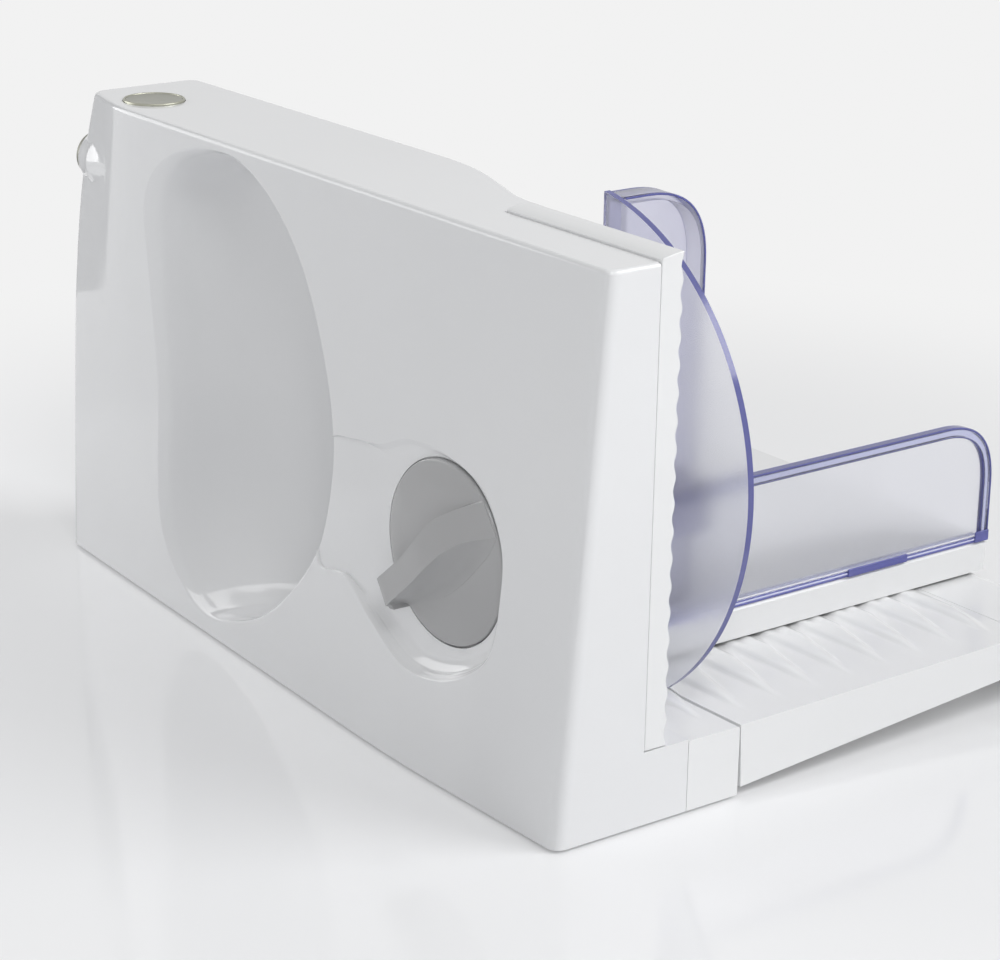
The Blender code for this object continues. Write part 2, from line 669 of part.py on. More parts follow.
def grip_rings():
    """Cross sections of the dial's wing: a curved ridge whose tip stands over the rim."""
    tip = DIAL_R + GRIP_OVERHANG
    # place along the wing, lower base, upper base, crest, share of the full height
    ridge = ((-33.0, -2.5, 6.5, -2.0, 0.03), (-22.0, -7.2, 11.0, -3.4, 0.45),
             (-10.0, -9.2, 13.0, -1.8, 0.83), (4.0, -11.4, 13.6, -1.8, 1.0),
             (18.0, -11.6, 12.2, -2.8, 1.02), (tip - 6.6, -8.9, 8.2, -4.8, 0.95))
    overhang = ((tip - 5.8, -8.7, 8.0, -4.9, 0.95), (tip, -6.9, 4.6, -5.0, 0.88))
    turn = math.radians(GRIP_ANGLE)
    ax, az = math.cos(turn), math.sin(turn)
    tip_foot = output_face_y(0.0, DIAL_Z - tip) + FACE_CLEARANCE
    rings = []
    for along, low, high, crest, share in open_curve(ridge, 12) + list(overhang):
        foot = DIAL_FACE_Y - 1.0 if along < tip - 6.0 else tip_foot
        top = DIAL_FACE_Y + GRIP_HEIGHT * share
        edge = max(foot + 0.4, DIAL_FACE_Y + 0.2)
        section = [(low, foot), (low + 0.3, edge), (mix(low, crest, 0.82), mix(edge, top, 0.93)),
                   (mix(crest, high, 0.06), top), (mix(crest, high, 0.5), mix(top, edge, 0.42)),
                   (mix(crest, high, 0.85), mix(top, edge, 0.86)), (high, edge), (high, foot)]
        rings.append([(DIAL_X + along * ax - u * az, y, DIAL_Z + along * az + u * ax) for u, y in section])
    return rings


def make_dial(mats):
    edge = DIAL_FACE_Y
    back = DIAL_FLOOR_Y + SEAM
    pivot = (DIAL_X, DIAL_FACE_Y, DIAL_Z)
    knob = add_object("thickness_dial", turned('Y', (DIAL_X, DIAL_Z), [
        (back, DIAL_R), (edge - 0.8, DIAL_R), (edge, DIAL_R - 0.8)], 56), mats["dial_grey"], pivot)
    wing = add_object("wing_form", loft_mesh(grip_rings(), "wing"))
    join(knob, wing)
    end = STOP_CREST_Y + RIPPLE_DEPTH + STOP_WALL + 0.6
    add_object("dial_spindle", pin('Y', (DIAL_X, DIAL_Z), back - SEAM, end, SPINDLE_R), mats["steel"], pivot)
    collar_y = DIAL_FLOOR_Y - WALL - SEAM
    collar = add_object("dial_collar", pin('Y', (DIAL_X, DIAL_Z), collar_y, collar_y - 2.5, 8.5, 28),
                        mats["grey_plastic"], pivot)
    bore(collar, "collar_bore_form", 'Y', (DIAL_X, DIAL_Z), 0.0, -30.0, SPINDLE_R + SEAM)
    return knob


# Blade and gear train
def gear_outline(cx, cz, teeth, phase):
    pitch_r = GEAR_MODULE * teeth / 2
    tip_r = pitch_r + GEAR_MODULE * 0.85
    root_r = pitch_r - GEAR_MODULE * 1.1
    step = 2 * math.pi / teeth
    points = []
    for k in range(teeth):
        centre = phase + k * step
        for offset, r in ((-0.29, root_r), (-0.115, tip_r), (0.115, tip_r), (0.29, root_r)):
            a = centre + offset * step
            points.append((cx + r * math.cos(a), cz + r * math.sin(a)))
    return points


def gear_distance(a, b):
    return GEAR_MODULE * (a + b) / 2


def train_centres():
    second = BLADE_X + gear_distance(DRIVE_TEETH, SMALL_TEETH)
    idler = second + gear_distance(LARGE_TEETH, LARGE_TEETH)
    motor = idler + gear_distance(LARGE_TEETH, MOTOR_TEETH)
    return second, idler, motor


def second_plane_y():
    return GEAR_FRONT_Y + GEAR_THICK + SEAM


def plate_front_y():
    return second_plane_y() + GEAR_THICK + SEAM


def plate_posts():
    second, idler, _ = train_centres()
    mid = (second + idler) / 2
    far = far_end_x(BLADE_Z) - 16.0
    reach = GEAR_MODULE * LARGE_TEETH / 2 + 11.0
    return [(mid, BLADE_Z - reach), (mid, BLADE_Z + reach), (far, BLADE_Z - reach), (far, BLADE_Z + reach)]


def make_gears(mats):
    second, idler, motor = train_centres()
    y0, y1 = GEAR_FRONT_Y, GEAR_FRONT_Y + GEAR_THICK
    y2, y3 = second_plane_y(), second_plane_y() + GEAR_THICK
    drive = add_object("drive_gear", prism_y(gear_outline(BLADE_X, BLADE_Z, DRIVE_TEETH, 0.0), y0, y1),
                       mats["gear_plastic"], (BLADE_X, y0, BLADE_Z))
    bore(drive, "drive_bore_form", 'Y', (BLADE_X, BLADE_Z), y0 - 5, y1 + 5, HUB_R + SEAM)
    small = prism_y(gear_outline(second, BLADE_Z, SMALL_TEETH, math.pi - math.pi / SMALL_TEETH), y0, y2 + 1.0)
    inter = add_object("intermediate_gear", prism_y(gear_outline(second, BLADE_Z, LARGE_TEETH, 0.0), y2, y3),
                       mats["gear_plastic"], (second, y2, BLADE_Z))
    join(inter, add_object("small_gear_form", small))
    mesh_turn = math.pi - math.pi / LARGE_TEETH
    idle = add_object("idler_gear", prism_y(gear_outline(idler, BLADE_Z, LARGE_TEETH, mesh_turn), y2, y3),
                      mats["gear_plastic"], (idler, y2, BLADE_Z))
    pinion = add_object("motor_pinion", prism_y(gear_outline(motor, BLADE_Z, MOTOR_TEETH, 0.0), y2, y3),
                        mats["steel"], (motor, y2, BLADE_Z))
    join(pinion, add_object("pinion_shaft_form", pin('Y', (motor, BLADE_Z), y2 + 1.0, plate_front_y() + 12.0,
                                                     MOTOR_SHAFT_R, 20)))
    axle_r = 3.0
    for name, gear, x in (("intermediate_axle", inter, second), ("idler_axle", idle, idler)):
        bore(gear, f"{name}_bore_form", 'Y', (x, BLADE_Z), y0 - 5, y3 + 5, axle_r + RUNNING)
        end = plate_front_y() + PLATE_THICK - 0.4
        add_object(name, pin('Y', (x, BLADE_Z), PANEL_BACK_Y + SEAM, end, axle_r), mats["steel"])
    far_x = far_end_x(BLADE_Z) - 9.0
    plate = add_object("gear_plate", prism_y([
        (BLADE_X + 18.0, BLADE_Z - 20.0), (second, BLADE_Z - PLATE_MARGIN), (far_x, BLADE_Z - PLATE_MARGIN),
        (far_x, BLADE_Z + PLATE_MARGIN), (second, BLADE_Z + PLATE_MARGIN), (BLADE_X + 18.0, BLADE_Z + 20.0)],
        plate_front_y(), plate_front_y() + PLATE_THICK), mats["steel"])
    for x in (second, idler):
        bore(plate, "axle_seat_form", 'Y', (x, BLADE_Z), -70.0, -40.0, axle_r + 0.15)
    bore(plate, "shaft_hole_form", 'Y', (motor, BLADE_Z), -70.0, -40.0, MOTOR_SHAFT_R + 1.5)
    back = plate_front_y() + PLATE_THICK + SEAM
    body = add_object("motor_body", turned('Y', (motor, BLADE_Z), [
        (back, MOTOR_R - 2.0), (back + 2.0, MOTOR_R), (back + MOTOR_LENGTH - 4.0, MOTOR_R),
        (back + MOTOR_LENGTH, MOTOR_R - 6.0)], 24), mats["motor_metal"])
    bore(body, "rotor_bore_form", 'Y', (motor, BLADE_Z), back - 5.0, back + 11.0, MOTOR_SHAFT_R + RUNNING, 20)
    return drive


def make_blade(mats):
    count = BLADE_SCALLOPS * 3
    front, back = BLADE_FRONT_Y, BLADE_FRONT_Y + BLADE_THICK
    def ring(y, radius, depth=0.0):
        points = []
        for i in range(count):
            a = 2 * math.pi * i / count
            r = radius - depth * abs(math.sin(a * BLADE_SCALLOPS / 2))
            points.append((BLADE_X + r * math.cos(a), y, BLADE_Z + r * math.sin(a)))
        return points
    disc = loft_mesh([
        ring(front, BLADE_R - BEVEL_WIDTH), ring(front + BLADE_THICK * 0.5, BLADE_R, SCALLOP_DEPTH),
        ring(back, BLADE_R - 3.0 - SCALLOP_DEPTH)], "blade")
    pivot = (BLADE_X, front, BLADE_Z)
    blade = add_object("blade", disc, mats["blade_steel"], pivot)
    bore(blade, "blade_bore_form", 'Y', (BLADE_X, BLADE_Z), -90.0, -50.0, HUB_R + SEAM)
    shoulder = GEAR_FRONT_Y + GEAR_THICK
    steps = [(front - 0.2, HUB_R), (shoulder, HUB_R), (shoulder, JOURNAL_R), (-52.4, JOURNAL_R)]
    shaft = add_object("blade_shaft", turned('Y', (BLADE_X, BLADE_Z), steps), mats["steel"], pivot)
    flange = pin('Y', (BLADE_X, BLADE_Z), back + SEAM, GEAR_FRONT_Y - SEAM, 8.0)
    join(shaft, add_object("flange_form", flange))
    lock_back = front - 0.2 - SEAM
    steps = [(lock_back, 19.0), (lock_back - 1.0, 19.0), (lock_back - 1.8, 16.0)]
    lock = add_object("blade_lock", turned('Y', (BLADE_X, BLADE_Z), steps, 32), mats["grey_plastic"], pivot)
    turn = math.radians(38.0)
    ax, az = math.cos(turn), math.sin(turn)
    outline = [(BLADE_X + u * ax - v * az, BLADE_Z + u * az + v * ax)
               for u, v in ((-10.5, -1.6), (10.5, -1.6), (10.5, 1.6), (-10.5, 1.6))]
    cut(lock, add_object("coin_slot_form", prism_y(outline, lock_back - 0.7, lock_back - 5.0)))
    sleeve = pin('Y', (BLADE_X, BLADE_Z), shoulder + 0.6, -52.1, BUSH_R)
    bush = add_object("shaft_bushing", sleeve, mats["bronze"])
    bore(bush, "bush_bore_form", 'Y', (BLADE_X, BLADE_Z), -70.0, -40.0, JOURNAL_R + RUNNING)
    return blade


# Buttons, switches, inlet
def top_switch_box():
    """Corners of the switch under the top button, as (x0, x1, y0, y1, z0, z1)."""
    long, wide, high = SWITCH_SIZE
    x, y = TOP_BUTTON
    top = HOUSING_TOP + TOP_BUTTON_RISE - TOP_BUTTON_LENGTH - SEAM - BUTTON_TRAVEL
    return x - long / 2, x + long / 2, y - wide / 2, y + wide / 2, top - high, top


def side_switch_box():
    long, wide, high = SWITCH_SIZE
    end = SIDE_BUTTON_X - SIDE_BUTTON_LENGTH - SEAM - BUTTON_TRAVEL
    return (end - high, end, SIDE_BUTTON_Y - wide / 2, SIDE_BUTTON_Y + wide / 2,
            SIDE_BUTTON_Z - long / 2, SIDE_BUTTON_Z + long / 2)


def switch_shelves():
    """Shelves on the housing's wall that carry the two switches."""
    shelves = []
    for x0, x1, y0, y1, z0, z1 in (top_switch_box(), side_switch_box()):
        shelves.append(box(x0 - 1.0, x1 + 1.0, y0 - 1.0, FAR_FOOT_Y + 9.0, z0 - SEAM - WALL, z0 - SEAM))
    return shelves


def make_buttons(mats):
    top = HOUSING_TOP + TOP_BUTTON_RISE
    add_object("top_button", turned('Z', TOP_BUTTON, [
        (top - TOP_BUTTON_LENGTH, TOP_BUTTON_R), (top - 0.7, TOP_BUTTON_R), (top, TOP_BUTTON_R - 0.9)], 32),
        mats["button_metal"], (TOP_BUTTON[0], TOP_BUTTON[1], top))
    add_object("top_switch", box(*top_switch_box()), mats["dark_plastic"])
    face = SIDE_BUTTON_X
    add_object("side_button", turned('X', (SIDE_BUTTON_Y, SIDE_BUTTON_Z), [
        (face - SIDE_BUTTON_LENGTH, SIDE_BUTTON_R), (face - 0.8, SIDE_BUTTON_R),
        (face, SIDE_BUTTON_R - 0.9)], 28), mats["button_metal"], (face, SIDE_BUTTON_Y, SIDE_BUTTON_Z))
    add_object("side_switch", box(*side_switch_box()), mats["dark_plastic"])
    gland = add_object("cord_inlet", turned('X', (GLAND_Y, GLAND_Z), [
        (FAR_FOOT_X - WALL - 3.0, GLAND_R), (FAR_FOOT_X + 2.0, GLAND_R),
        (FAR_FOOT_X + 3.0, GLAND_R - 1.0)], 24), mats["grey_plastic"])
    bore(gland, "cord_bore_form", 'X', (GLAND_Y, GLAND_Z), FAR_FOOT_X - 20.0, FAR_FOOT_X + 9.0,
         CORD_BORE_R, 20)


# Hinge block and table
def knuckle_spans(start):
    """Three knuckles in a row: block, table, block."""
    step = KNUCKLE_LENGTH + SEAM
    return [(start + k * step, start + k * step + KNUCKLE_LENGTH) for k in range(3)]


def knuckle(x0, x1, to_y):
    """A hinge knuckle with its web running to the body at to_y."""
    barrel = pin('X', (KNUCKLE_Y, KNUCKLE_Z), x0, x1, KNUCKLE_R)
    low, high = sorted((KNUCKLE_Y, to_y))
    return barrel, box(x0, x1, low, high, KNUCKLE_Z - KNUCKLE_R + 0.3, KNUCKLE_Z + 1.5)


def make_block(mats):
    outline = rounded([(BLOCK_SEAM_Y - SEAM, HOUSING_FOOT, 0.0), (BLOCK_SEAM_Y - SEAM, BLOCK_TOP, 0.6),
                       (BLOCK_FRONT_Y, BLOCK_TOP - 0.4, 1.0), (BLOCK_FRONT_Y, HOUSING_FOOT, 0.0)], 3)
    block = add_object("hinge_block", prism_x(outline, 0.0, SLICER_LENGTH), mats["white_satin"])
    far_x = SLICER_LENGTH - TABLE_WALL
    cut(block, add_object("block_hollow_form", box(TABLE_WALL, far_x, BLOCK_FRONT_Y + 3.4,
                                                   BLOCK_SEAM_Y - SEAM - TABLE_WALL, -9.0, BLOCK_TOP - 3.0)))
    room = KNUCKLE_R + 0.5
    for start in HINGE_STARTS:
        spans = knuckle_spans(start)
        x0, x1 = spans[1]
        cut(block, add_object("table_knuckle_room_form", box(
            x0 - SEAM, x1 + SEAM, KNUCKLE_Y - 9.0, KNUCKLE_Y + room, KNUCKLE_Z - room, BLOCK_TOP + 9.0)))
        for x0, x1 in (spans[0], spans[2]):
            barrel, web = knuckle(x0, x1, BLOCK_FRONT_Y + 2.0)
            join(block, add_object("block_knuckle_form", barrel), add_object("block_web_form", web))
        bore(block, "block_pin_form", 'X', (KNUCKLE_Y, KNUCKLE_Z), spans[0][0] - 5.0, spans[2][1] + 5.0,
             HINGE_PIN_R + RUNNING, 12)
    return block


def table_top_z(y):
    t = (TABLE_BACK_Y - y) / (TABLE_BACK_Y - TABLE_SEAM_Y)
    return mix(TABLE_TOP_BACK, TABLE_TOP_FRONT, min(1.0, t))


def table_foot_z(y):
    t = (TABLE_BACK_Y - y) / (TABLE_BACK_Y - TABLE_SEAM_Y)
    return mix(TABLE_FOOT_BACK, TABLE_FOOT_FRONT, t)


def rib_height(x, y):
    """Lens shaped ribs across the table that start as points behind the smooth rim."""
    edge = min(x - RIM_WIDTH, SLICER_LENGTH - RIM_WIDTH - x)
    if edge <= 0.0:
        return 0.0
    opening = min(1.0, edge / 42.0)
    phase = 2 * math.pi * (TABLE_BACK_Y - 9.0 - y - 0.12 * min(edge, 42.0)) / RIB_PITCH
    lens = math.cos(phase) - mix(1.0, -0.45, opening)
    ends = min(1.0, max(0.0, (TABLE_BACK_Y - 2.0 - y) / 4.0), max(0.0, (y - TABLE_SEAM_Y - 2.0) / 4.0))
    return RIB_HEIGHT * max(0.0, lens) / 1.45 * ends


def table_mesh():
    """Ribbed top, straight ends, tapering underside."""
    bm = bmesh.new()
    xs = [0.0, RIM_WIDTH] + [RIM_WIDTH + d for d in (12.0, 25.0, 42.0)]
    xs += [SLICER_LENGTH / 2]
    xs += [SLICER_LENGTH - x for x in reversed(xs[:-1])]
    rows = int(round(TABLE_DEPTH / RIB_PITCH * 4))
    ys = [mix(TABLE_BACK_Y, TABLE_SEAM_Y, k / rows) for k in range(rows + 1)]
    grid = [[bm.verts.new((x, y, table_top_z(y) + rib_height(x, y))) for x in xs] for y in ys]
    for a, b in zip(grid, grid[1:]):
        for i in range(len(xs) - 1):
            bm.faces.new((a[i], a[i + 1], b[i + 1], b[i]))
    low = [[bm.verts.new((x, y, table_foot_z(y))) for x in (0.0, SLICER_LENGTH)]
           for y in (TABLE_BACK_Y, TABLE_SEAM_Y)]
    bm.faces.new((low[0][0], low[0][1], low[1][1], low[1][0]))
    bm.faces.new([low[0][0], low[0][1]] + list(reversed(grid[0])))
    bm.faces.new([low[1][0], low[1][1]] + list(reversed(grid[-1])))
    bm.faces.new([low[1][0], low[0][0]] + [row[0] for row in grid])
    bm.faces.new([low[1][1], low[0][1]] + [row[-1] for row in grid])
    return finish_mesh(bm, "folding_table")


def make_table(mats):
    table = add_object("folding_table", table_mesh(), mats["white_satin"])
    far_x = SLICER_LENGTH - TABLE_WALL
    cut(table, add_object("table_hollow_form", box(TABLE_WALL, far_x, TABLE_SEAM_Y + TABLE_WALL,
                                                   TABLE_BACK_Y - 5.0, -9.0, TABLE_TOP_BACK - TABLE_WALL)))
    room = KNUCKLE_R + 0.5
    for i, start in enumerate(HINGE_STARTS):
        spans = knuckle_spans(start)
        for x0, x1 in (spans[0], spans[2]):
            cut(table, add_object("block_knuckle_room_form", box(
                x0 - SEAM, x1 + SEAM, KNUCKLE_Y - room, KNUCKLE_Y + 9.0,
                KNUCKLE_Z - room, TABLE_TOP_FRONT + 9.0)))
        barrel, web = knuckle(spans[1][0], spans[1][1], TABLE_BACK_Y - 2.0)
        join(table, add_object("table_knuckle_form", barrel), add_object("table_web_form", web))
        bore(table, "table_pin_form", 'X', (KNUCKLE_Y, KNUCKLE_Z), spans[0][0] - 1.0, spans[2][1] + 1.0,
             HINGE_PIN_R + RUNNING, 12)
        hinge_pin = pin('X', (KNUCKLE_Y, KNUCKLE_Z), spans[0][0] + 0.2, spans[2][1] - 0.2, HINGE_PIN_R, 12)
        add_object(f"hinge_pin_{i + 1}", hinge_pin, mats["steel"])
    end_back = TABLE_SEAM_Y - SEAM
    outline = rounded([(end_back, table_foot_z(end_back), 0.0), (end_back, TABLE_TOP_FRONT, 0.6),
                       (TABLE_END_Y, TABLE_TOP_FRONT, 6.0), (TABLE_END_Y, table_foot_z(end_back), 3.0)], 4)
    end = add_object("table_end_cap", prism_x(outline, 0.0, SLICER_LENGTH), mats["white_satin"])
    cut(end, add_object("end_hollow_form", box(TABLE_WALL, far_x, TABLE_END_Y + TABLE_WALL,
                                               end_back - TABLE_WALL, -9.0, TABLE_TOP_FRONT - TABLE_WALL)))
    foot_y = (TABLE_SEAM_Y + TABLE_END_Y) / 2
    foot_top = TABLE_TOP_FRONT - TABLE_WALL - SEAM
    for name, x in (("near", TABLE_FOOT_INSET), ("far", SLICER_LENGTH - TABLE_FOOT_INSET)):
        leg = [(0.0, TABLE_FOOT_R - 3.0), (1.2, TABLE_FOOT_R - 1.5), (foot_top, TABLE_FOOT_R)]
        add_object(f"table_foot_{name}", turned('Z', (x, foot_y), leg, 20), mats["rubber"])
    rail_start = CARRIAGE_NEAR_X + 5.0
    rail_foot = table_top_z(RAIL_Y) + RIB_HEIGHT + SEAM
    half = RAIL_WIDTH / 2
    add_object("carriage_rail", box(rail_start, SLICER_LENGTH - RAIL_END, RAIL_Y - half, RAIL_Y + half,
                                    rail_foot, RAIL_TOP), mats["steel"])
    return table


# Carriage
def make_carriage(mats):
    x0, x1 = CARRIAGE_NEAR_X, CARRIAGE_NEAR_X + CARRIAGE_LENGTH
    outline = rounded([(x0, CARRIAGE_BACK_Y, 3.0), (x1, CARRIAGE_BACK_Y, 3.0),
                       (x1, CARRIAGE_FRONT_Y, 9.0), (x0, CARRIAGE_FRONT_Y, 5.0)])
    rings = [[(x, y, z) for x, y in inset(outline, d)] for z, d in (
        (CARRIAGE_FOOT, 0.4), (CARRIAGE_TOP - 0.9, 0.0), (CARRIAGE_TOP, 0.9))]
    base = add_object("carriage_base", loft_mesh(rings, "carriage"), mats["white_satin"])
    wall = CARRIAGE_WALL
    hollow = add_object("carriage_hollow_form", box(x0 + wall, x1 - wall, CARRIAGE_FRONT_Y + wall,
                                                    CARRIAGE_BACK_Y - wall, 0.0, CARRIAGE_TOP - wall))
    for side in (-1, 1):
        inner = RAIL_Y + side * (RAIL_WIDTH / 2 + SLIDE_GAP)
        outer = inner + side * 2.5
        low, high = sorted((inner, outer))
        cut(hollow, add_object("guide_rib_form", box(x0 - 1.0, x1 + 1.0, low, high, -1.0, CARRIAGE_TOP)))
    cut(base, hollow)
    way = RAIL_WIDTH / 2 + SLIDE_GAP
    cut(base, add_object("rail_way_form", box(x0 - 5.0, x1 + 5.0, RAIL_Y - way, RAIL_Y + way,
                                              0.0, RAIL_TOP + SLIDE_GAP)))
    make_clear_pieces(mats, x0 + 0.8)
    return base


def guard_arc():
    """Half round guard over the blade, closed by its straight edge."""
    top_a = math.acos((GUARD_CHORD_X - GUARD_X) / GUARD_R)
    low_a = 2 * math.pi - math.acos(-math.sqrt(GUARD_R ** 2 - (GUARD_Z - GUARD_FOOT) ** 2) / GUARD_R)
    arc = [(GUARD_CHORD_X, GUARD_FOOT)]
    for k in range(37):
        a = mix(low_a, top_a, k / 36)
        arc.append((GUARD_X + GUARD_R * math.cos(a), GUARD_Z + GUARD_R * math.sin(a)))
    return arc


def make_clear_pieces(mats, wall_x):
    """The low wall with the guard in one moulding, and the tall holder that rides on it."""
    wall_foot = CARRIAGE_TOP + SEAM
    wall_back = GUARD_BACK_Y - CLEAR_THICK
    side = rounded([(wall_back + 0.5, wall_foot, 0.0), (wall_back + 0.5, WALL_TOP, 0.0),
                    (WALL_FRONT_Y, WALL_TOP, WALL_CORNER_R), (WALL_FRONT_Y, wall_foot, 2.0)], 7)
    wall = add_object("backrest_guard", prism_x(side, wall_x, wall_x + CLEAR_THICK), mats["clear_blue"])
    flange = add_object("wall_foot_form", box(wall_x, wall_x + 6.0, WALL_FRONT_Y + 4.0, CARRIAGE_BACK_Y - 1.0,
                                              wall_foot, wall_foot + 2.4))
    join(wall, flange, add_object("guard_form", prism_y(guard_arc(), GUARD_BACK_Y, wall_back)))

    holder_x = GUARD_CHORD_X + SEAM
    back = wall_back - SLIDE_GAP
    foot = CARRIAGE_TOP + SLIDE_GAP
    face = rounded([(back, foot, 0.0), (back, HOLDER_TOP, 0.0), (HOLDER_FRONT_Y, HOLDER_TOP, HOLDER_CORNER_R),
                    (HOLDER_FRONT_Y, foot, 4.0)], 7)
    holder = add_object("remnant_holder", prism_x(face, holder_x - HOLDER_RIM, holder_x + CLEAR_THICK),
                        mats["clear_blue"], (holder_x, back, foot))
    tray = prism_x(inset(face, CLEAR_THICK), holder_x - HOLDER_RIM - 5.0, holder_x)
    cut(holder, add_object("holder_tray_form", tray))
    hook_x = wall_x - SLIDE_GAP - CLEAR_THICK
    low_y, high_y = HOLDER_FRONT_Y + 4.0, back - 3.0
    saddle_foot = WALL_TOP + SLIDE_GAP
    saddle = box(hook_x, holder_x + 1.0, low_y, high_y, saddle_foot, saddle_foot + CLEAR_THICK)
    hook = box(hook_x, hook_x + CLEAR_THICK, low_y, high_y, WALL_TOP - HOOK_REACH, saddle_foot + 1.0)
    join(holder, add_object("saddle_form", saddle), add_object("hook_form", hook))


# Assembly
def make_materials():
    return {
        "white_gloss": material("white_gloss", (0.86, 0.87, 0.88), 0.16),
        "white_satin": material("white_satin", (0.84, 0.86, 0.87), 0.38),
        "dial_grey": material("dial_grey", (0.47, 0.48, 0.49), 0.36),
        "grey_plastic": material("grey_plastic", (0.62, 0.63, 0.64), 0.45),
        "dark_plastic": material("dark_plastic", (0.05, 0.05, 0.06), 0.5),
        "gear_plastic": material("gear_plastic", (0.80, 0.77, 0.68), 0.42),
        "clear_blue": material("clear_blue", (0.55, 0.60, 0.90), 0.3, 0.0, 0.45),
        "blade_steel": material("blade_steel", (0.72, 0.72, 0.73), 0.22, 1.0),
        "steel": material("steel", (0.60, 0.61, 0.63), 0.3, 1.0),
        "bronze": material("bronze", (0.55, 0.40, 0.22), 0.4, 1.0),
        "motor_metal": material("motor_metal", (0.42, 0.43, 0.45), 0.4, 1.0),
        "button_metal": material("button_metal", (0.62, 0.60, 0.55), 0.34, 0.7),
        "rubber": material("rubber", (0.16, 0.16, 0.17), 0.8),
    }


def centre_on_footprint():
    """Hang every object on one root and move the footprint's centre to the origin."""
    bpy.context.view_layer.update()
    graph = bpy.context.evaluated_depsgraph_get()
    low = Vector((1e9, 1e9, 1e9))
    high = -low
    for obj in bpy.context.scene.objects:
        if obj.type != 'MESH' or obj.hide_render:
            continue
        shape = obj.evaluated_get(graph)
        for corner in shape.bound_box:
            p = obj.matrix_world @ Vector(corner)
            low = Vector(map(min, low, p))
            high = Vector(map(max, high, p))
    root = bpy.data.objects.new("slicer_root", None)
    bpy.context.scene.collection.objects.link(root)
    for obj in list(bpy.context.scene.objects):
        if obj is not root:
            obj.parent = root
    root.location = (-(low.x + high.x) / 2, -(low.y + high.y) / 2, -low.z)
    bpy.context.view_layer.update()


def main():
    clear_scene()
    mats = make_materials()
    make_housing(mats)
    make_panel(mats)
    make_base(mats)
    make_stop_plate(mats)
    make_dial(mats)
    make_gears(mats)
    make_blade(mats)
    make_buttons(mats)
    make_block(mats)
    make_table(mats)
    make_carriage(mats)
    centre_on_footprint()


main()
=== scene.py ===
"""Looks of the food slicer: materials, fine pieces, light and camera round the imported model."""
import json
import math

import bmesh
import bpy
from mathutils import Matrix, Vector

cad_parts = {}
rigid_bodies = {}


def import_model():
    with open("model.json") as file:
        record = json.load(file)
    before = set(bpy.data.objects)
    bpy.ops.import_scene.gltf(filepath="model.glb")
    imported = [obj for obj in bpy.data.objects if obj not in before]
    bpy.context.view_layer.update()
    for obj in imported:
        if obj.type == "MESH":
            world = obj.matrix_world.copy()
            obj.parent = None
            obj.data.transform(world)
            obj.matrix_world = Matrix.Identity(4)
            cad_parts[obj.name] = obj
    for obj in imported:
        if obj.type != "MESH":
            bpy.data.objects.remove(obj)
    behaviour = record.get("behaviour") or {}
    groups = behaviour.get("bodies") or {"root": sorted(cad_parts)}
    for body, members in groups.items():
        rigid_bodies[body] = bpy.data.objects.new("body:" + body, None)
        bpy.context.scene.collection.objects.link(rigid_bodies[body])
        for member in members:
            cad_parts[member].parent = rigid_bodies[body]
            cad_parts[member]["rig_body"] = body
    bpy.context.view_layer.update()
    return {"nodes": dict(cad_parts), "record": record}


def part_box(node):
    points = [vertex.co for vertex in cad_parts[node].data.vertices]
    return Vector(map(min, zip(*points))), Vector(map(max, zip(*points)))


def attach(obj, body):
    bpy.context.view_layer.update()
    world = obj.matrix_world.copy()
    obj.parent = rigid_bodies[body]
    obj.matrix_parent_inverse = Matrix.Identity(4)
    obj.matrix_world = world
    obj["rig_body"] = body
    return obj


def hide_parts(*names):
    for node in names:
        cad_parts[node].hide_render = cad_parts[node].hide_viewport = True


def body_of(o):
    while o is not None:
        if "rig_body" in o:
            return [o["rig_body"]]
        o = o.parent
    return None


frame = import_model()
MM = 0.001

# The layout frame of the model in millimetres: near bottom corner of the housing is zero.
FRONT_Y = -72.3
SHIFT_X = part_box("main_housing")[0].x / MM
SHIFT_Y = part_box("main_housing")[0].y / MM - FRONT_Y

# Sizes are the model's. A few follow the photograph more closely than the solids do: TOP_ROUND,
# GRIP_OVERHANG, GRIP_HEIGHT, BOSS_R, RIPPLE_DEPTH, RIB_HEIGHT and HOLDER_FRONT_Y.

# Housing
HOUSING_TOP = 203.2
WALL = 2.8
FACE_FOOT_Y, FACE_TOP_Y, FACE_BEND_X, FAR_FACE_X = 2.1, -14.5, 98.0, 315.7
FAR_FOOT_X, FAR_LEAN, FAR_BULGE, FAR_FOOT_Y, FAR_TOP_Y = 368.0, 19.5, 4.2, -17.5, -22.7
SWEEP_START_X, SWEEP_END = 148.0, (99.0, -54.6)
TOP_ROUND = 1.8
LEDGE_TOP, BLOCK_SEAM_Y, NOTCH_TOP = 28.6, -56.6, 29.3
STOP_BACK_Y, SEAM = -36.6, 0.3
BLADE_X, BLADE_Z, RECESS_R, RECESS_FLOOR_Y = 173.5, 116.5, 84.0, -68.0
PANEL_BACK_Y, PANEL_NEAR_X = -65.0, 134.0

# Outlet and dish
OUTLET_EDGE = ((283.0, 95.0), (289.0, 135.0), (292.0, 172.0), (266.0, 193.5), (222.0, 197.5), (180.0, 170.0),
               (153.0, 118.0), (153.0, 76.0), (168.0, 48.0), (203.0, 19.5), (248.0, 9.5), (281.0, 35.0))
OUTLET_LIP = 3.6
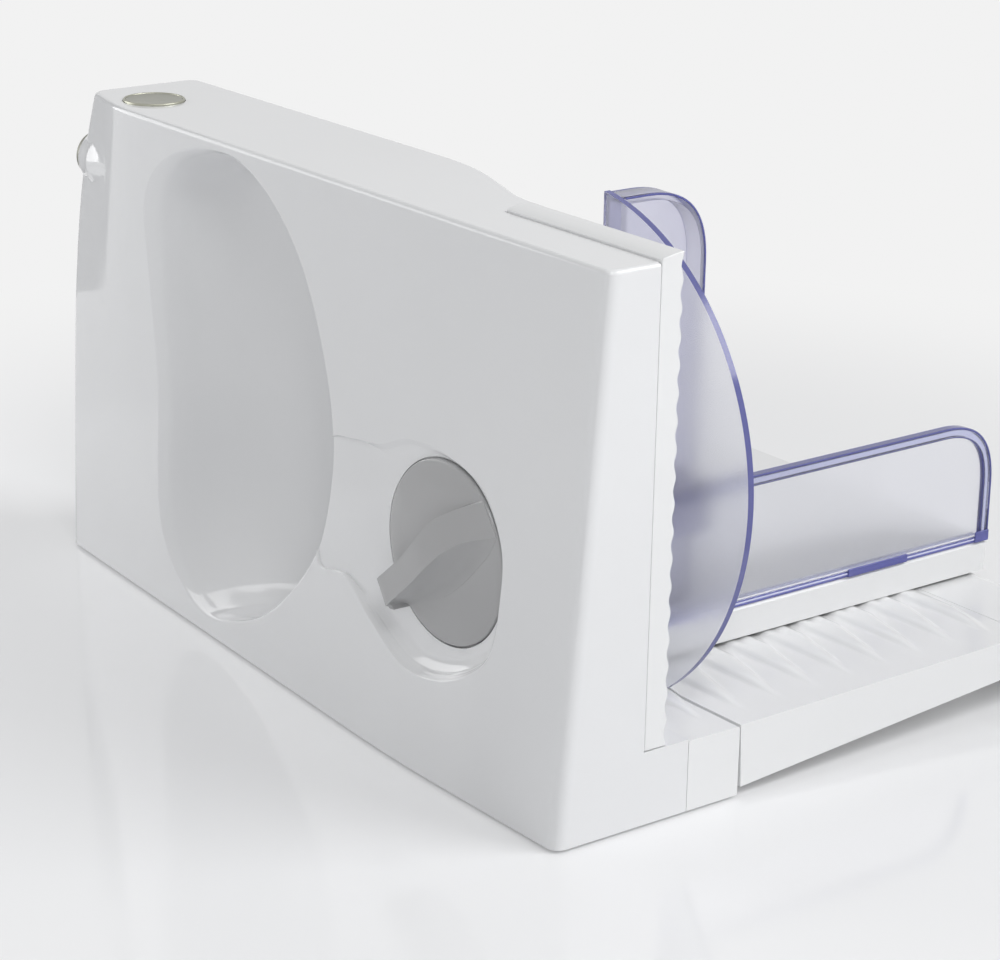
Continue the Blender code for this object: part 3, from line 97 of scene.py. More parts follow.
# Far side of the chute as (share of the depth, share of the way to the slice gap): a soft roll
CHUTE_PROFILE = ((0.0, 0.0), (0.05, 0.045), (0.13, 0.075), (0.3, 0.12), (0.5, 0.22), (0.66, 0.44),
                 (0.8, 0.71), (1.0, 1.0))
CHUTE_DEEP_Y = -60.0
GAP_NEAR_X, GAP_FAR_X, GAP_FOOT, GAP_TOP = 85.0, 113.0, 34.0, 186.0
DIAL_X, DIAL_Z, DIAL_R, DIAL_GAP, DIAL_FACE_Y, DIAL_FLOOR_Y = 78.0, 84.6, 34.0, 0.7, -7.0, -9.8
DISH_EDGE = ((157.0, 82.0), (153.0, 106.0), (136.5, 111.0), (119.0, 113.5), (101.0, 120.6), (79.0, 120.5),
             (57.3, 114.2), (44.2, 97.4), (42.4, 78.0), (45.5, 58.0), (57.0, 46.5), (76.0, 38.5),
             (97.0, 37.8), (119.0, 48.3), (137.0, 58.5), (156.0, 58.0))
DISH_SOFT_X = (118.0, 132.0)  # the lip fades out here, towards the outlet
EDGE_ROUND = 0.9
POCKET_GAP = 0.6              # round the dial, in its own pocket
GRIP_ANGLE, GRIP_OVERHANG, GRIP_HEIGHT = -36.0, 2.0, 8.7

# Keys, stop plate, table and clear pieces
RING_SHARES = (0.5, 0.66, 0.8, 0.91)  # heights at which the far end's curve has a corner
BUTTON_GAP = 0.25
TOP_BUTTON, TOP_BUTTON_R = (317.6, -33.9), 12.6
SIDE_BUTTON, SIDE_BUTTON_X, SIDE_BUTTON_R, BOSS_R = (-31.0, HOUSING_TOP - 29.7), 360.5, 10.0, 14.2
ROD_X, ROD_R, ROD_HEIGHTS = 24.0, 3.1, (52.0, 96.0)
NUT_X, NUT_HALF = (63.6, 81.8), 7.4
INLET, INLET_R = (-44.0, 16.0), 5.8
STOP_LENGTH, STOP_CREST_Y, STOP_FOOT, STOP_TOP, STOP_WALL = 84.0, -46.2, 29.0, 205.9, 2.2
RIPPLE_DEPTH, RIPPLES = 1.0, 18
STOP_TRAY_TOP = 199.0
SLICER_LENGTH, TABLE_BACK_Y, TABLE_SEAM_Y = 345.0, -82.2, -228.0
TABLE_TOP_BACK, TABLE_TOP_FRONT, TABLE_FOOT_BACK, TABLE_FOOT_FRONT = 28.0, 29.4, 3.8, 14.8
RIB_PITCH, RIB_HEIGHT, BLOCK_RIB_SHARE, RIM_WIDTH = 18.0, 1.55, 0.83, 8.0
RIB_LEAN, LEAF_LENGTH, HOLLOW_START, HOLLOW_LENGTH = 0.12, 42.0, 37.0, 40.0
BLOCK_FRONT_Y, BLOCK_TOP = -80.7, 28.0
HINGE_STARTS, KNUCKLE_PITCH, KNUCKLE_LENGTH = (72.0, 240.0), 12.3, 12.0
KNUCKLE_Y, KNUCKLE_Z = -81.45, 25.2
CARRIAGE_NEAR_X, CARRIAGE_BACK_Y, CARRIAGE_TOP = 57.5, -78.2, 43.5
CLEAR_THICK, SLIDE_GAP = 2.6, 0.4
WALL_X = CARRIAGE_NEAR_X + 0.8
WALL_TOP, WALL_FRONT_Y, WALL_CORNER_R = 95.0, -263.9, 27.0
GUARD_BACK_Y, GUARD_X, GUARD_Z, GUARD_R, GUARD_CHORD_X, GUARD_FOOT = -74.5, 92.5, 110.5, 98.0, 77.0, 31.3
HOLDER_FRONT_Y, HOLDER_TOP, HOLDER_CORNER_R, HOLDER_RIM = -117.0, 206.0, 28.0, 8.0

# The camera of the photograph: pitch, yaw and roll in degrees, focal length in pixels of its frame
PHOTO_ANGLES, PHOTO_FOCAL, PHOTO_WIDTH = (18.6447, 37.4936, -1.0539), 2950.0, 1000.0
CAMERA_AT, SENSOR_WIDTH = (-711.77, 574.67, 443.26), 36.0
BACK = 0.887  # grey of the background, as strength of its light


def place(x, y, z):
    """A layout point in millimetres as a point of the model in metres."""
    return Vector(((x + SHIFT_X) * MM, (y + SHIFT_Y) * MM, z * MM))


# Curves and outlines
def mix(a, b, t):
    return a + (b - a) * t


def clamp(value, low=0.0, high=1.0):
    return min(high, max(low, value))


def spline(p0, p1, p2, p3, t):
    """Point at t between p1 and p2 on the curve through all four."""
    return tuple(0.5 * (2 * b + (c - a) * t + (2 * a - 5 * b + 4 * c - d) * t * t
                        + (3 * b - a - 3 * c + d) * t ** 3)
                 for a, b, c, d in zip(p0, p1, p2, p3))


def closed_curve(points, steps):
    """A smooth closed curve through the points, with so many steps to each."""
    count = len(points)
    return [spline(points[i - 1], points[i], points[(i + 1) % count], points[(i + 2) % count], k / steps)
            for i in range(count) for k in range(steps)]


def open_curve(points, parts):
    """A smooth open curve through points of any size, in so many parts."""
    padded = [points[0]] + list(points) + [points[-1]]
    curve = []
    for k in range(parts + 1):
        s = min(k / parts * (len(points) - 1), len(points) - 1.000001)
        i = int(s)
        curve.append(spline(*padded[i:i + 4], s - i))
    return curve


def rounded(corners, steps=10):
    """Round each (x, y, reach) corner by a curve that starts and ends reach from it."""
    points = []
    count = len(corners)
    for i, (x, y, reach) in enumerate(corners):
        here = Vector((x, y))
        if reach <= 0.0:
            points.append((x, y))
            continue
        start = here + (Vector(corners[i - 1][:2]) - here).normalized() * reach
        end = here + (Vector(corners[(i + 1) % count][:2]) - here).normalized() * reach
        for k in range(steps + 1):
            s = k / steps
            points.append(tuple(start * (1 - s) ** 2 + here * 2 * s * (1 - s) + end * s ** 2))
    return points


def inset(points, distance):
    """Move every side of a closed outline inwards by distance."""
    if distance == 0.0:
        return list(points)
    area = sum(a[0] * b[1] - b[0] * a[1] for a, b in zip(points, points[1:] + points[:1]))
    side = 1.0 if area > 0 else -1.0
    result = []
    for i, p in enumerate(points):
        a = Vector(p) - Vector(points[i - 1])
        b = Vector(points[(i + 1) % len(points)]) - Vector(p)
        na = Vector((-a.y, a.x)).normalized() * side
        nb = Vector((-b.y, b.x)).normalized() * side
        middle = (na + nb).normalized()
        shift = middle * (distance / max(middle.dot(na), 0.5))
        result.append((p[0] + shift.x, p[1] + shift.y))
    return result


# Meshes
def finished(bm, name):
    """The mesh of a bmesh, with its faces turned outwards."""
    bmesh.ops.recalc_face_normals(bm, faces=bm.faces)
    mesh = bpy.data.meshes.new(name)
    bm.to_mesh(mesh)
    bm.free()
    return mesh


def quads(bm, rows, flipped=False):
    """Join neighbouring rows of points by faces."""
    for a, b in zip(rows, rows[1:]):
        for i in range(len(a) - 1):
            if flipped:
                bm.faces.new((a[i], b[i], b[i + 1], a[i + 1]))
            else:
                bm.faces.new((a[i], a[i + 1], b[i + 1], b[i]))


def loft(rings, name="loft"):
    """Skin closed rings of equal length and cap both ends; layout millimetres become metres."""
    bm = bmesh.new()
    rows = [[bm.verts.new(place(*p)) for p in ring] for ring in rings]
    count = len(rows[0])
    for low, high in zip(rows, rows[1:]):
        for i in range(count):
            j = (i + 1) % count
            bm.faces.new((low[i], low[j], high[j], high[i]))
    bm.faces.new(rows[0])
    bm.faces.new(rows[-1])
    bmesh.ops.remove_doubles(bm, verts=bm.verts, dist=1e-7)
    return finished(bm, name)


def box(x0, x1, y0, y1, z0, z1):
    return loft([[(x0, y0, z), (x1, y0, z), (x1, y1, z), (x0, y1, z)] for z in (z0, z1)])


def on_axis(axis, along, u, v):
    """The point at a distance along an axis, with its two other coordinates."""
    return {"X": (along, u, v), "Y": (u, along, v), "Z": (u, v, along)}[axis]


def turned(axis, centre, profile, count=48):
    """Turn a profile of (position along the axis, radius) steps about axis 'X', 'Y' or 'Z'."""
    rings = []
    for along, radius in profile:
        angles = [2 * math.pi * i / count for i in range(count)]
        circle = [(centre[0] + radius * math.cos(a), centre[1] + radius * math.sin(a)) for a in angles]
        rings.append([on_axis(axis, along, u, v) for u, v in circle])
    return loft(rings, "turned")


def carve(mesh, tools, operation="DIFFERENCE"):
    """Cut the tools out of a mesh, or join them to it, with the exact solver."""
    work = bpy.data.objects.new("work", mesh)
    bpy.context.scene.collection.objects.link(work)
    helpers = []
    for tool in tools:
        helper = bpy.data.objects.new("helper", tool)
        bpy.context.scene.collection.objects.link(helper)
        modifier = work.modifiers.new("form", "BOOLEAN")
        modifier.operation = operation
        modifier.solver = "EXACT"
        modifier.object = helper
        helpers.append(helper)
    graph = bpy.context.evaluated_depsgraph_get()
    result = bpy.data.meshes.new_from_object(work.evaluated_get(graph))
    for obj in helpers + [work]:
        bpy.data.objects.remove(obj)
    return result


def add_piece(name, mesh, body, material, nodes=(), smooth=32.0):
    """Make a piece that rides a body, and hides the nodes that it stands for."""
    mesh.materials.clear()
    mesh.materials.append(material)
    mesh.shade_smooth()
    mesh.set_sharp_from_angle(angle=math.radians(smooth))
    piece = bpy.data.objects.new(name, mesh)
    bpy.context.scene.collection.objects.link(piece)
    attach(piece, body)
    if nodes:
        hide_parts(*nodes)
    return piece


def even_shading(piece, weight=50):
    """Let the large faces decide the shading, so that flat ones look flat."""
    modifier = piece.modifiers.new("even_shading", "WEIGHTED_NORMAL")
    modifier.keep_sharp = True
    modifier.weight = weight


def soften(piece, width, segments=2, angle=40.0):
    """Round a piece's sharp edges."""
    modifier = piece.modifiers.new("soft_edges", "BEVEL")
    modifier.width = width * MM
    modifier.segments = segments
    modifier.limit_method = "ANGLE"
    modifier.angle_limit = math.radians(angle)
    modifier.harden_normals = True
    return piece


# Shader helpers
class Nodes:
    """A small wrapper that adds and links shader nodes."""

    def __init__(self, name):
        self.mat = bpy.data.materials.new(name)
        self.mat.use_nodes = True
        self.tree = self.mat.node_tree
        self.shader = self.tree.nodes["Principled BSDF"]
        self.out = self.tree.nodes["Material Output"]

    def add(self, kind, **values):
        node = self.tree.nodes.new(kind)
        for key, value in values.items():
            setattr(node, key, value)
        return node

    def link(self, a, b):
        self.tree.links.new(a, b)

    def position(self):
        return self.add("ShaderNodeTexCoord").outputs["Object"]

    def noise(self, scale, detail=2.0, roughness=0.5, vector=None):
        node = self.add("ShaderNodeTexNoise")
        node.inputs["Scale"].default_value = scale
        node.inputs["Detail"].default_value = detail
        node.inputs["Roughness"].default_value = roughness
        self.link(vector if vector is not None else self.position(), node.inputs["Vector"])
        return node.outputs["Fac"]

    def span(self, value, low, high, to_low, to_high):
        node = self.add("ShaderNodeMapRange")
        for key, number in (("From Min", low), ("From Max", high), ("To Min", to_low), ("To Max", to_high)):
            node.inputs[key].default_value = number
        self.link(value, node.inputs["Value"])
        return node.outputs["Result"]

    def math(self, operation, a, b=None):
        node = self.add("ShaderNodeMath", operation=operation)
        for value, socket in ((a, node.inputs[0]), (b, node.inputs[1])):
            if isinstance(value, (int, float)):
                socket.default_value = value
            elif value is not None:
                self.link(value, socket)
        return node.outputs[0]

    def ramp(self, value, stops):
        node = self.add("ShaderNodeValToRGB")
        elements = node.color_ramp.elements
        while len(elements) < len(stops):
            elements.new(0.5)
        for element, (at, colour) in zip(elements, stops):
            element.position = at
            element.color = (*colour, 1.0)
        self.link(value, node.inputs["Fac"])
        return node.outputs["Color"]

    def bump(self, height, strength, distance, normal=None):
        node = self.add("ShaderNodeBump")
        node.inputs["Strength"].default_value = strength
        node.inputs["Distance"].default_value = distance
        self.link(height, node.inputs["Height"])
        if normal is not None:
            self.link(normal, node.inputs["Normal"])
        return node.outputs["Normal"]


def plastic(name, colour, roughness, grain=0.0, grain_scale=900.0, mottling=0.02, metallic=0.0):
    """Moulded plastic: faint tone changes, uneven gloss and a fine moulded grain."""
    n = Nodes(name)
    low = tuple(c * (1 - mottling) for c in colour)
    high = tuple(min(1.0, c * (1 + mottling * 0.5)) for c in colour)
    n.link(n.ramp(n.noise(9.0, 3.0), [(0.3, low), (0.7, high)]), n.shader.inputs["Base Color"])
    gloss = n.span(n.noise(42.0, 4.0), 0.3, 0.7, roughness * 0.88, roughness * 1.14)
    n.link(gloss, n.shader.inputs["Roughness"])
    n.shader.inputs["IOR"].default_value = 1.5
    n.shader.inputs["Metallic"].default_value = metallic
    wave = n.bump(n.noise(11.0, 1.0), 0.03, 0.004)
    if grain > 0.0:
        wave = n.bump(n.noise(grain_scale, 2.0), grain, 0.0002, wave)
    n.link(wave, n.shader.inputs["Normal"])
    return n.mat


def metal(name, colour, roughness, centre=None, line_scale=400.0):
    """Metal with fine lines: drawn along X, or ground in circles about an axis along Y."""
    n = Nodes(name)
    if centre is None:
        stretch = n.add("ShaderNodeMapping")
        n.link(n.position(), stretch.inputs["Vector"])
        stretch.inputs["Scale"].default_value = (0.08, 1.0, 1.0)
        lines = stretch.outputs["Vector"]
    else:
        split = n.add("ShaderNodeSeparateXYZ")
        n.link(n.position(), split.inputs["Vector"])
        dx = n.math("SUBTRACT", split.outputs["X"], centre.x)
        dz = n.math("SUBTRACT", split.outputs["Z"], centre.z)
        radius = n.math("SQRT", n.math("ADD", n.math("MULTIPLY", dx, dx), n.math("MULTIPLY", dz, dz)))
        join = n.add("ShaderNodeCombineXYZ")
        n.link(radius, join.inputs["X"])
        n.link(split.outputs["Y"], join.inputs["Y"])
        lines = join.outputs["Vector"]
    streaks = n.noise(line_scale, 3.0, 0.6, lines)
    dark = tuple(c * 0.88 for c in colour)
    n.link(n.ramp(streaks, [(0.3, dark), (0.7, colour)]), n.shader.inputs["Base Color"])
    n.link(n.span(streaks, 0.3, 0.7, roughness * 0.8, roughness * 1.25), n.shader.inputs["Roughness"])
    n.shader.inputs["Metallic"].default_value = 1.0
    n.link(n.bump(streaks, 0.09, 0.0002), n.shader.inputs["Normal"])
    return n.mat


def clear(name, colour, roughness, frost=0.05, through=1.0):
    """Clear tinted plastic with a faint frost."""
    n = Nodes(name)
    low = tuple(c * 0.985 for c in colour)
    n.link(n.ramp(n.noise(7.0, 2.0), [(0.3, low), (0.7, colour)]), n.shader.inputs["Base Color"])
    gloss = n.span(n.noise(35.0, 3.0), 0.3, 0.7, roughness * 0.85, roughness * 1.15)
    n.link(gloss, n.shader.inputs["Roughness"])
    n.shader.inputs["IOR"].default_value = 1.49
    n.shader.inputs["Transmission Weight"].default_value = through
    n.link(n.bump(n.noise(1500.0, 2.0), frost, 0.0001), n.shader.inputs["Normal"])
    return n.mat


WHITE = (0.80, 0.805, 0.815)
MATS = {
    "white_gloss": plastic("gloss_white", WHITE, 0.065),
    "white_satin": plastic("satin_white", (0.82, 0.825, 0.83), 0.2, 0.05),
    "dial_grey": plastic("satin_grey", (0.42, 0.42, 0.425), 0.16, 0.06),
    "grey_plastic": plastic("plain_grey", (0.55, 0.56, 0.57), 0.45, 0.15),
    "dark_plastic": plastic("dark_moulded", (0.03, 0.03, 0.033), 0.5, 0.2),
    "gear_plastic": plastic("gear_nylon", (0.72, 0.69, 0.60), 0.42, 0.1),
    "clear_blue": clear("frosted_blue", (0.945, 0.95, 0.995), 0.22),
    "blade_steel": metal("ground_steel", (0.74, 0.74, 0.75), 0.2, place(BLADE_X, 0.0, BLADE_Z), 900.0),
    "steel": metal("plain_steel", (0.60, 0.61, 0.63), 0.3),
    "bronze": metal("sintered_bronze", (0.48, 0.33, 0.18), 0.42),
    "motor_metal": metal("motor_steel", (0.40, 0.41, 0.43), 0.4),
    "button_metal": plastic("silver_lacquer", (0.31, 0.31, 0.265), 0.34, 0.08, 1400.0, metallic=0.3),
    "rubber": plastic("soft_rubber", (0.07, 0.07, 0.075), 0.75, 0.3, 700.0),
}
RIM_METAL = metal("satin_rim", (0.40, 0.40, 0.335), 0.36)
HOLDER_BLUE = clear("frosted_holder", (0.77, 0.77, 0.90), 0.38, 0.2)
BLUE_EDGE = clear("blue_edge", (0.17, 0.18, 0.52), 0.12, 0.0, 0.45)
BLUE_BAND = clear("blue_band", (0.72, 0.74, 0.97), 0.10, 0.0)

slot_of = {s["node"]: s["material_slot"] for s in frame["record"]["subparts"]}
for name, obj in frame["nodes"].items():
    obj.data.materials.clear()
    obj.data.materials.append(MATS[slot_of[name]])


# Housing
def far_end_x(z):
    return FAR_FOOT_X - FAR_LEAN * max(0.0, z / HOUSING_TOP) ** FAR_BULGE


def output_face_y(x, z):
    """The slanted output face, which stands upright only at the far end."""
    foot = FACE_FOOT_Y
    if x > FACE_BEND_X:
        foot += (FAR_FOOT_Y - FACE_FOOT_Y) / (FAR_FOOT_X - FACE_BEND_X) * (x - FACE_BEND_X)
    return mix(foot, FACE_TOP_Y, z / HOUSING_TOP)


def housing_outline(z):
    far_x = far_end_x(z)
    return rounded([
        (0.0, output_face_y(0.0, z), 5.5),
        (FACE_BEND_X, output_face_y(FACE_BEND_X, z), 30.0),
        (FAR_FACE_X, output_face_y(FAR_FACE_X, z), 15.0),
        (far_x, mix(FAR_FOOT_Y, FAR_TOP_Y, z / HOUSING_TOP), 6.0),
        (far_x, FRONT_Y, 6.0),
        (SWEEP_START_X, FRONT_Y, 22.0),
        (SWEEP_END[0], SWEEP_END[1], 9.0),
        (0.0, SWEEP_END[1], 0.0),
    ])


def housing_body(foot, name):
    """The outer form of the housing."""
    top = HOUSING_TOP - TOP_ROUND
    rings = [[(x, y, z) for x, y in housing_outline(z)] for z in (mix(foot, top, k / 15) for k in range(15))]
    for k in range(7):
        a = k / 6 * math.pi / 2
        z = top + TOP_ROUND * math.sin(a)
        outline = inset(housing_outline(z), TOP_ROUND * (1 - math.cos(a)))
        rings.append([(x, y, z) for x, y in outline])
    return loft(rings, name)


def eased(depth):
    """How far a hollow's edge is drawn outwards at a small depth, so that the edge is round."""
    if depth >= EDGE_ROUND:
        return 0.0
    return EDGE_ROUND - math.sqrt(max(0.0, 2 * EDGE_ROUND * depth - depth * depth))


def shifted_y(ring, distance):
    return [(x, y + distance, z) for x, y, z in ring]


def outlet_ring(depth, far_share, flare=0.0):
    """One ring of the slice chute, from the output face (depth 0) to the slice gap (depth 1)."""
    lip = OUTLET_LIP / (FACE_TOP_Y - CHUTE_DEEP_Y)
    near_share = clamp((depth - lip) / (1 - lip))
    edge = closed_curve(OUTLET_EDGE, 9)
    low_x, high_x = min(x for x, _ in edge), max(x for x, _ in edge)
    middle = Vector(((low_x + high_x) / 2, (GAP_FOOT + GAP_TOP) / 2))
    ring = []
    for i, (x, z) in enumerate(edge):
        a = 2 * math.pi * i / len(edge)
        gap_x = (GAP_NEAR_X + GAP_FAR_X) / 2
        gap_x += (GAP_FAR_X - GAP_NEAR_X) / 2 * math.copysign(abs(math.cos(a)) ** 0.7, math.cos(a))
        gap_z = (GAP_FOOT + GAP_TOP) / 2
        gap_z += (GAP_TOP - GAP_FOOT) / 2 * math.copysign(abs(math.sin(a)) ** 0.9, math.sin(a))
        inner_x = mix(x, gap_x, mix(near_share, far_share, (x - low_x) / (high_x - low_x)))
        inner_z = mix(z, gap_z, depth)
        face_y = output_face_y(inner_x, inner_z)
        out = (Vector((x, z)) - middle).normalized() * (flare + eased(depth * (face_y - CHUTE_DEEP_Y)))
        ring.append((inner_x + out.x, mix(face_y, CHUTE_DEEP_Y, depth), inner_z + out.y))
    return ring


def chute_body():
    """The slice chute: crisp on the near side, a soft roll on the far side."""
    depths = [(d, 0.92 * d) for d in (0.0004, 0.002, 0.005, 0.010, 0.017)]
    depths += [step for step in open_curve(CHUTE_PROFILE, 44) if step[0] > 0.024]
    rings = [outlet_ring(*step) for step in depths]
    flare = outlet_ring(0.0, 0.0, 1.0)
    mouth = [shifted_y(flare, 12.0), shifted_y(flare, 0.3)]
    return loft(mouth + rings + [shifted_y(rings[-1], -30.0)], "chute")


def dish_floor_y(x, z):
    """The dish's floor: level with the dial's face, or a little below the housing's face."""
    return min(DIAL_FACE_Y - 0.6, output_face_y(x, z) - 1.3)


def dish_ring(share, lip_width, most, ramp, flare=0.0):
    """One ring of the dial's hollow: a lip on three sides, a low step and a ramp towards the outlet."""
    inner = DIAL_R + DIAL_GAP
    ring = []
    for x, z in closed_curve(DISH_EDGE, 8):
        out = Vector((x - DIAL_X, z - DIAL_Z))
        room = out.length - inner
        soft = clamp((x - DISH_SOFT_X[0]) / (DISH_SOFT_X[1] - DISH_SOFT_X[0]))
        width = mix(min(lip_width, most * room), max(0.0, room - ramp), soft) * clamp(share / 0.3)
        depth = share * (output_face_y(x, z) - dish_floor_y(x, z))
        r = out.length - width + flare + eased(depth)
        x1, z1 = DIAL_X + out.x / out.length * r, DIAL_Z + out.y / out.length * r
        ring.append((x1, mix(output_face_y(x1, z1), dish_floor_y(x1, z1), share), z1))
    return ring


def dish_body():
    """The dished hollow round the dial, without the dial's own round pocket."""
    steps = ((0.002, 0.0, 0.0, 60.0), (0.15, 0.4, 0.1, 60.0), (0.4, 1.0, 0.26, 60.0), (0.55, 1.6, 0.36, 45.0),
             (0.68, 2.2, 0.46, 30.0), (0.9, 4.4, 0.7, 15.0), (0.975, 6.2, 0.86, 8.0), (1.0, 8.0, 0.95, 3.5))
    rings = [dish_ring(*step) for step in open_curve(steps, 40)]
    flare = dish_ring(0.0, 0.0, 0.0, 0.0, 1.0)
    last = []
    for x, z in closed_curve(DISH_EDGE, 8):
        out = Vector((x - DIAL_X, z - DIAL_Z)).normalized() * (DIAL_R - 1.0)
        last.append((DIAL_X + out.x, dish_floor_y(DIAL_X + out.x, DIAL_Z + out.y), DIAL_Z + out.y))
    return loft([shifted_y(flare, 12.0), shifted_y(flare, 0.3)] + rings + [last], "dish")


def make_housing():
    """The moulded shell with its slice chute, its dish and the bay of the stop plate."""
    beyond = FAR_FOOT_X + 9.0
    bay_y = STOP_BACK_Y + SEAM
    boss = turned("X", SIDE_BUTTON, [
        (FAR_FACE_X + 4.0, BOSS_R), (SIDE_BUTTON_X - 16.5, BOSS_R), (SIDE_BUTTON_X - 14.0, BOSS_R - 0.5),
        (SIDE_BUTTON_X - 11.5, BOSS_R - 1.5), (SIDE_BUTTON_X - 8.5, mix(BOSS_R, SIDE_BUTTON_R + 1.4, 0.56)),
        (SIDE_BUTTON_X - 5.0, SIDE_BUTTON_R + 1.7), (SIDE_BUTTON_X - 4.0, SIDE_BUTTON_R + 1.3),
        (SIDE_BUTTON_X - 3.5, SIDE_BUTTON_R + 0.8)], 96)
    ledge = box(0.0, SWEEP_START_X - 20.0, STOP_BACK_Y + 4.0, BLOCK_SEAM_Y, 1.0, LEDGE_TOP)
    shell = carve(housing_body(1.0, "shell"), [ledge, boss], "UNION")
    pocket = inset(housing_outline(4.8), WALL)
    bores = [turned("Y", (ROD_X, z), [(bay_y - 6.0, ROD_R), (bay_y + 26.0, ROD_R)], 24) for z in ROD_HEIGHTS]
    shell = carve(shell, [
        box(-9.0, GAP_NEAR_X, FRONT_Y - 9.0, bay_y, LEDGE_TOP, HOUSING_TOP + 9.0),
        box(-9.0, beyond, FRONT_Y - 9.0, BLOCK_SEAM_Y, -30.0, NOTCH_TOP),
        loft([[(x, y, z) for x, y in pocket] for z in (-9.0, 6.0)]),
        chute_body(), dish_body(), panel_zone(),
        turned("Y", (DIAL_X, DIAL_Z), [(y, DIAL_R + POCKET_GAP) for y in (DIAL_FLOOR_Y, 12.0)], 144),
        turned("Y", (BLADE_X, BLADE_Z), [(RECESS_FLOOR_Y, RECESS_R), (-90.0, RECESS_R)], 128),
        turned("Y", (BLADE_X, BLADE_Z), [(RECESS_FLOOR_Y - 2.0, 8.0), (-52.0, 8.0)]),
        box(NUT_X[0], NUT_X[1], bay_y - 4.0, bay_y + 24.0, DIAL_Z - NUT_HALF, DIAL_Z + NUT_HALF),
        turned("Y", (DIAL_X, DIAL_Z), [(20.0, ROD_R), (-24.0, ROD_R)], 24),
        turned("Z", TOP_BUTTON, [(z, TOP_BUTTON_R + BUTTON_GAP)
                                 for z in (HOUSING_TOP - 17.0, HOUSING_TOP + 9.0)], 96),
        turned("X", SIDE_BUTTON, [(x, SIDE_BUTTON_R + BUTTON_GAP) for x in (SIDE_BUTTON_X - 21.0, beyond)], 96),
        turned("X", INLET, [(FAR_FOOT_X - 12.0, INLET_R), (beyond, INLET_R)])] + bores)
    even_shading(add_piece("housing_shell", shell, "housing", MATS["white_gloss"],
                           ("main_housing",), 40.0), 80)


def panel_zone():
    """The blade side panel's field: inside the shell's rim, in front of the gear room."""
    rings = []
    foot, top = NOTCH_TOP + WALL, HOUSING_TOP - WALL
    for y in (PANEL_BACK_Y + SEAM, FRONT_Y - 9.0):
        ring = [(PANEL_NEAR_X - SEAM, y, foot), (far_end_x(NOTCH_TOP) - WALL, y, foot)]
        ring += [(far_end_x(share * HOUSING_TOP) - WALL, y, share * HOUSING_TOP) for share in RING_SHARES]
        ring += [(far_end_x(HOUSING_TOP) - WALL, y, top), (PANEL_NEAR_X - SEAM, y, top)]
        rings.append(ring)
    return loft(rings, "panel_zone")


# Dial and buttons
def grip_rings():
    """Cross sections of the dial's wing: a flat curved band over a scooped side, low at one end."""
    tip = DIAL_R + GRIP_OVERHANG
    # Along the wing, foot and crest of its scooped side, far edge of the band, share of the height
    spine = ((-33.0, -6.0, -5.6, 7.6, 0.02), (-26.0, -9.2, -3.6, 9.2, 0.24), (-18.0, -10.9, -1.7, 10.2, 0.50),
             (-8.0, -12.7, -1.7, 10.6, 0.82), (4.0, -13.6, -3.3, 7.8, 0.98), (14.0, -12.8, -4.9, 5.6, 1.0),
             (23.0, -11.0, -5.7, 4.8, 0.98), (tip - 3.2, -9.2, -6.4, 4.2, 0.93))
    overhang = ((tip - 2.6, -9.0, -6.5, 4.2, 0.925), (tip - 0.4, -7.9, -6.5, 4.0, 0.89),
                (tip, -7.2, -6.3, 3.7, 0.84))
    turn = math.radians(GRIP_ANGLE)
    ax, az = math.cos(turn), math.sin(turn)
    tip_foot = output_face_y(0.0, DIAL_Z - tip) + 0.8
    rings = []
    for along, low, crest, high, share in open_curve(spine, 44) + list(overhang):
        foot = DIAL_FACE_Y - 1.0 if along < tip - 3.0 else tip_foot
        top = DIAL_FACE_Y + GRIP_HEIGHT * share
        edge = min(max(foot + 0.4, DIAL_FACE_Y + 0.1), top - 0.1)
        scoop = [(mix(low, crest, t), mix(edge, top, t ** 3.0))
                 for t in (0.0, 0.2, 0.4, 0.58, 0.74, 0.88, 1.0)]
        band = [(mix(crest, high, t), top - 0.5 * share * t) for t in (0.35, 0.7, 1.0)]
        section = [(low, foot)] + scoop + band + [(high + 0.5, edge), (high + 0.5, foot)]
        rings.append([(DIAL_X + along * ax - u * az, y, DIAL_Z + along * az + u * ax) for u, y in section])
    return rings


def make_dial():
    """Grey knob with its curved wing."""
    knob = turned("Y", (DIAL_X, DIAL_Z), [
        (DIAL_FLOOR_Y + SEAM, DIAL_R), (DIAL_FACE_Y - 1.0, DIAL_R), (DIAL_FACE_Y - 0.55, DIAL_R - 0.1),
        (DIAL_FACE_Y - 0.2, DIAL_R - 0.35), (DIAL_FACE_Y, DIAL_R - 0.9)], 144)
    knob = carve(knob, [loft(grip_rings(), "wing")], "UNION")
    piece = add_piece("dial_knob", knob, "dial", MATS["dial_grey"], ("thickness_dial",), 30.0)
    soften(piece, 0.45, 2, 34.0)


def make_key(name, axis, centre, face, radius, body, node, rim):
    """A round key: a narrow bright rim round a dished satin face."""
    sleeve = [(face - 8.0, radius), (face - 0.45, radius), (face - 0.15, radius - 0.1), (face, radius - 0.35),
              (face, radius - 0.65), (face - 0.15, radius - 0.85), (face - 0.5, radius - 0.95),
              (face - 2.0, radius - 0.95)]
    add_piece(f"{name}_rim", turned(axis, centre, sleeve, 96), body, rim, (node,), 50.0)
    dish = radius - 1.0
    cap = [(face - 2.4, dish)]
    for k in range(9):
        r = dish * (1 - k / 9)
        cap.append((face - 0.35 - 0.5 * (1 - (r / dish) ** 2), r))
    cap.append((face - 0.85, 0.02))
    face_mesh = turned(axis, centre, cap, 96)
    add_piece(f"{name}_face", face_mesh, body, MATS["button_metal"], (), 30.0)


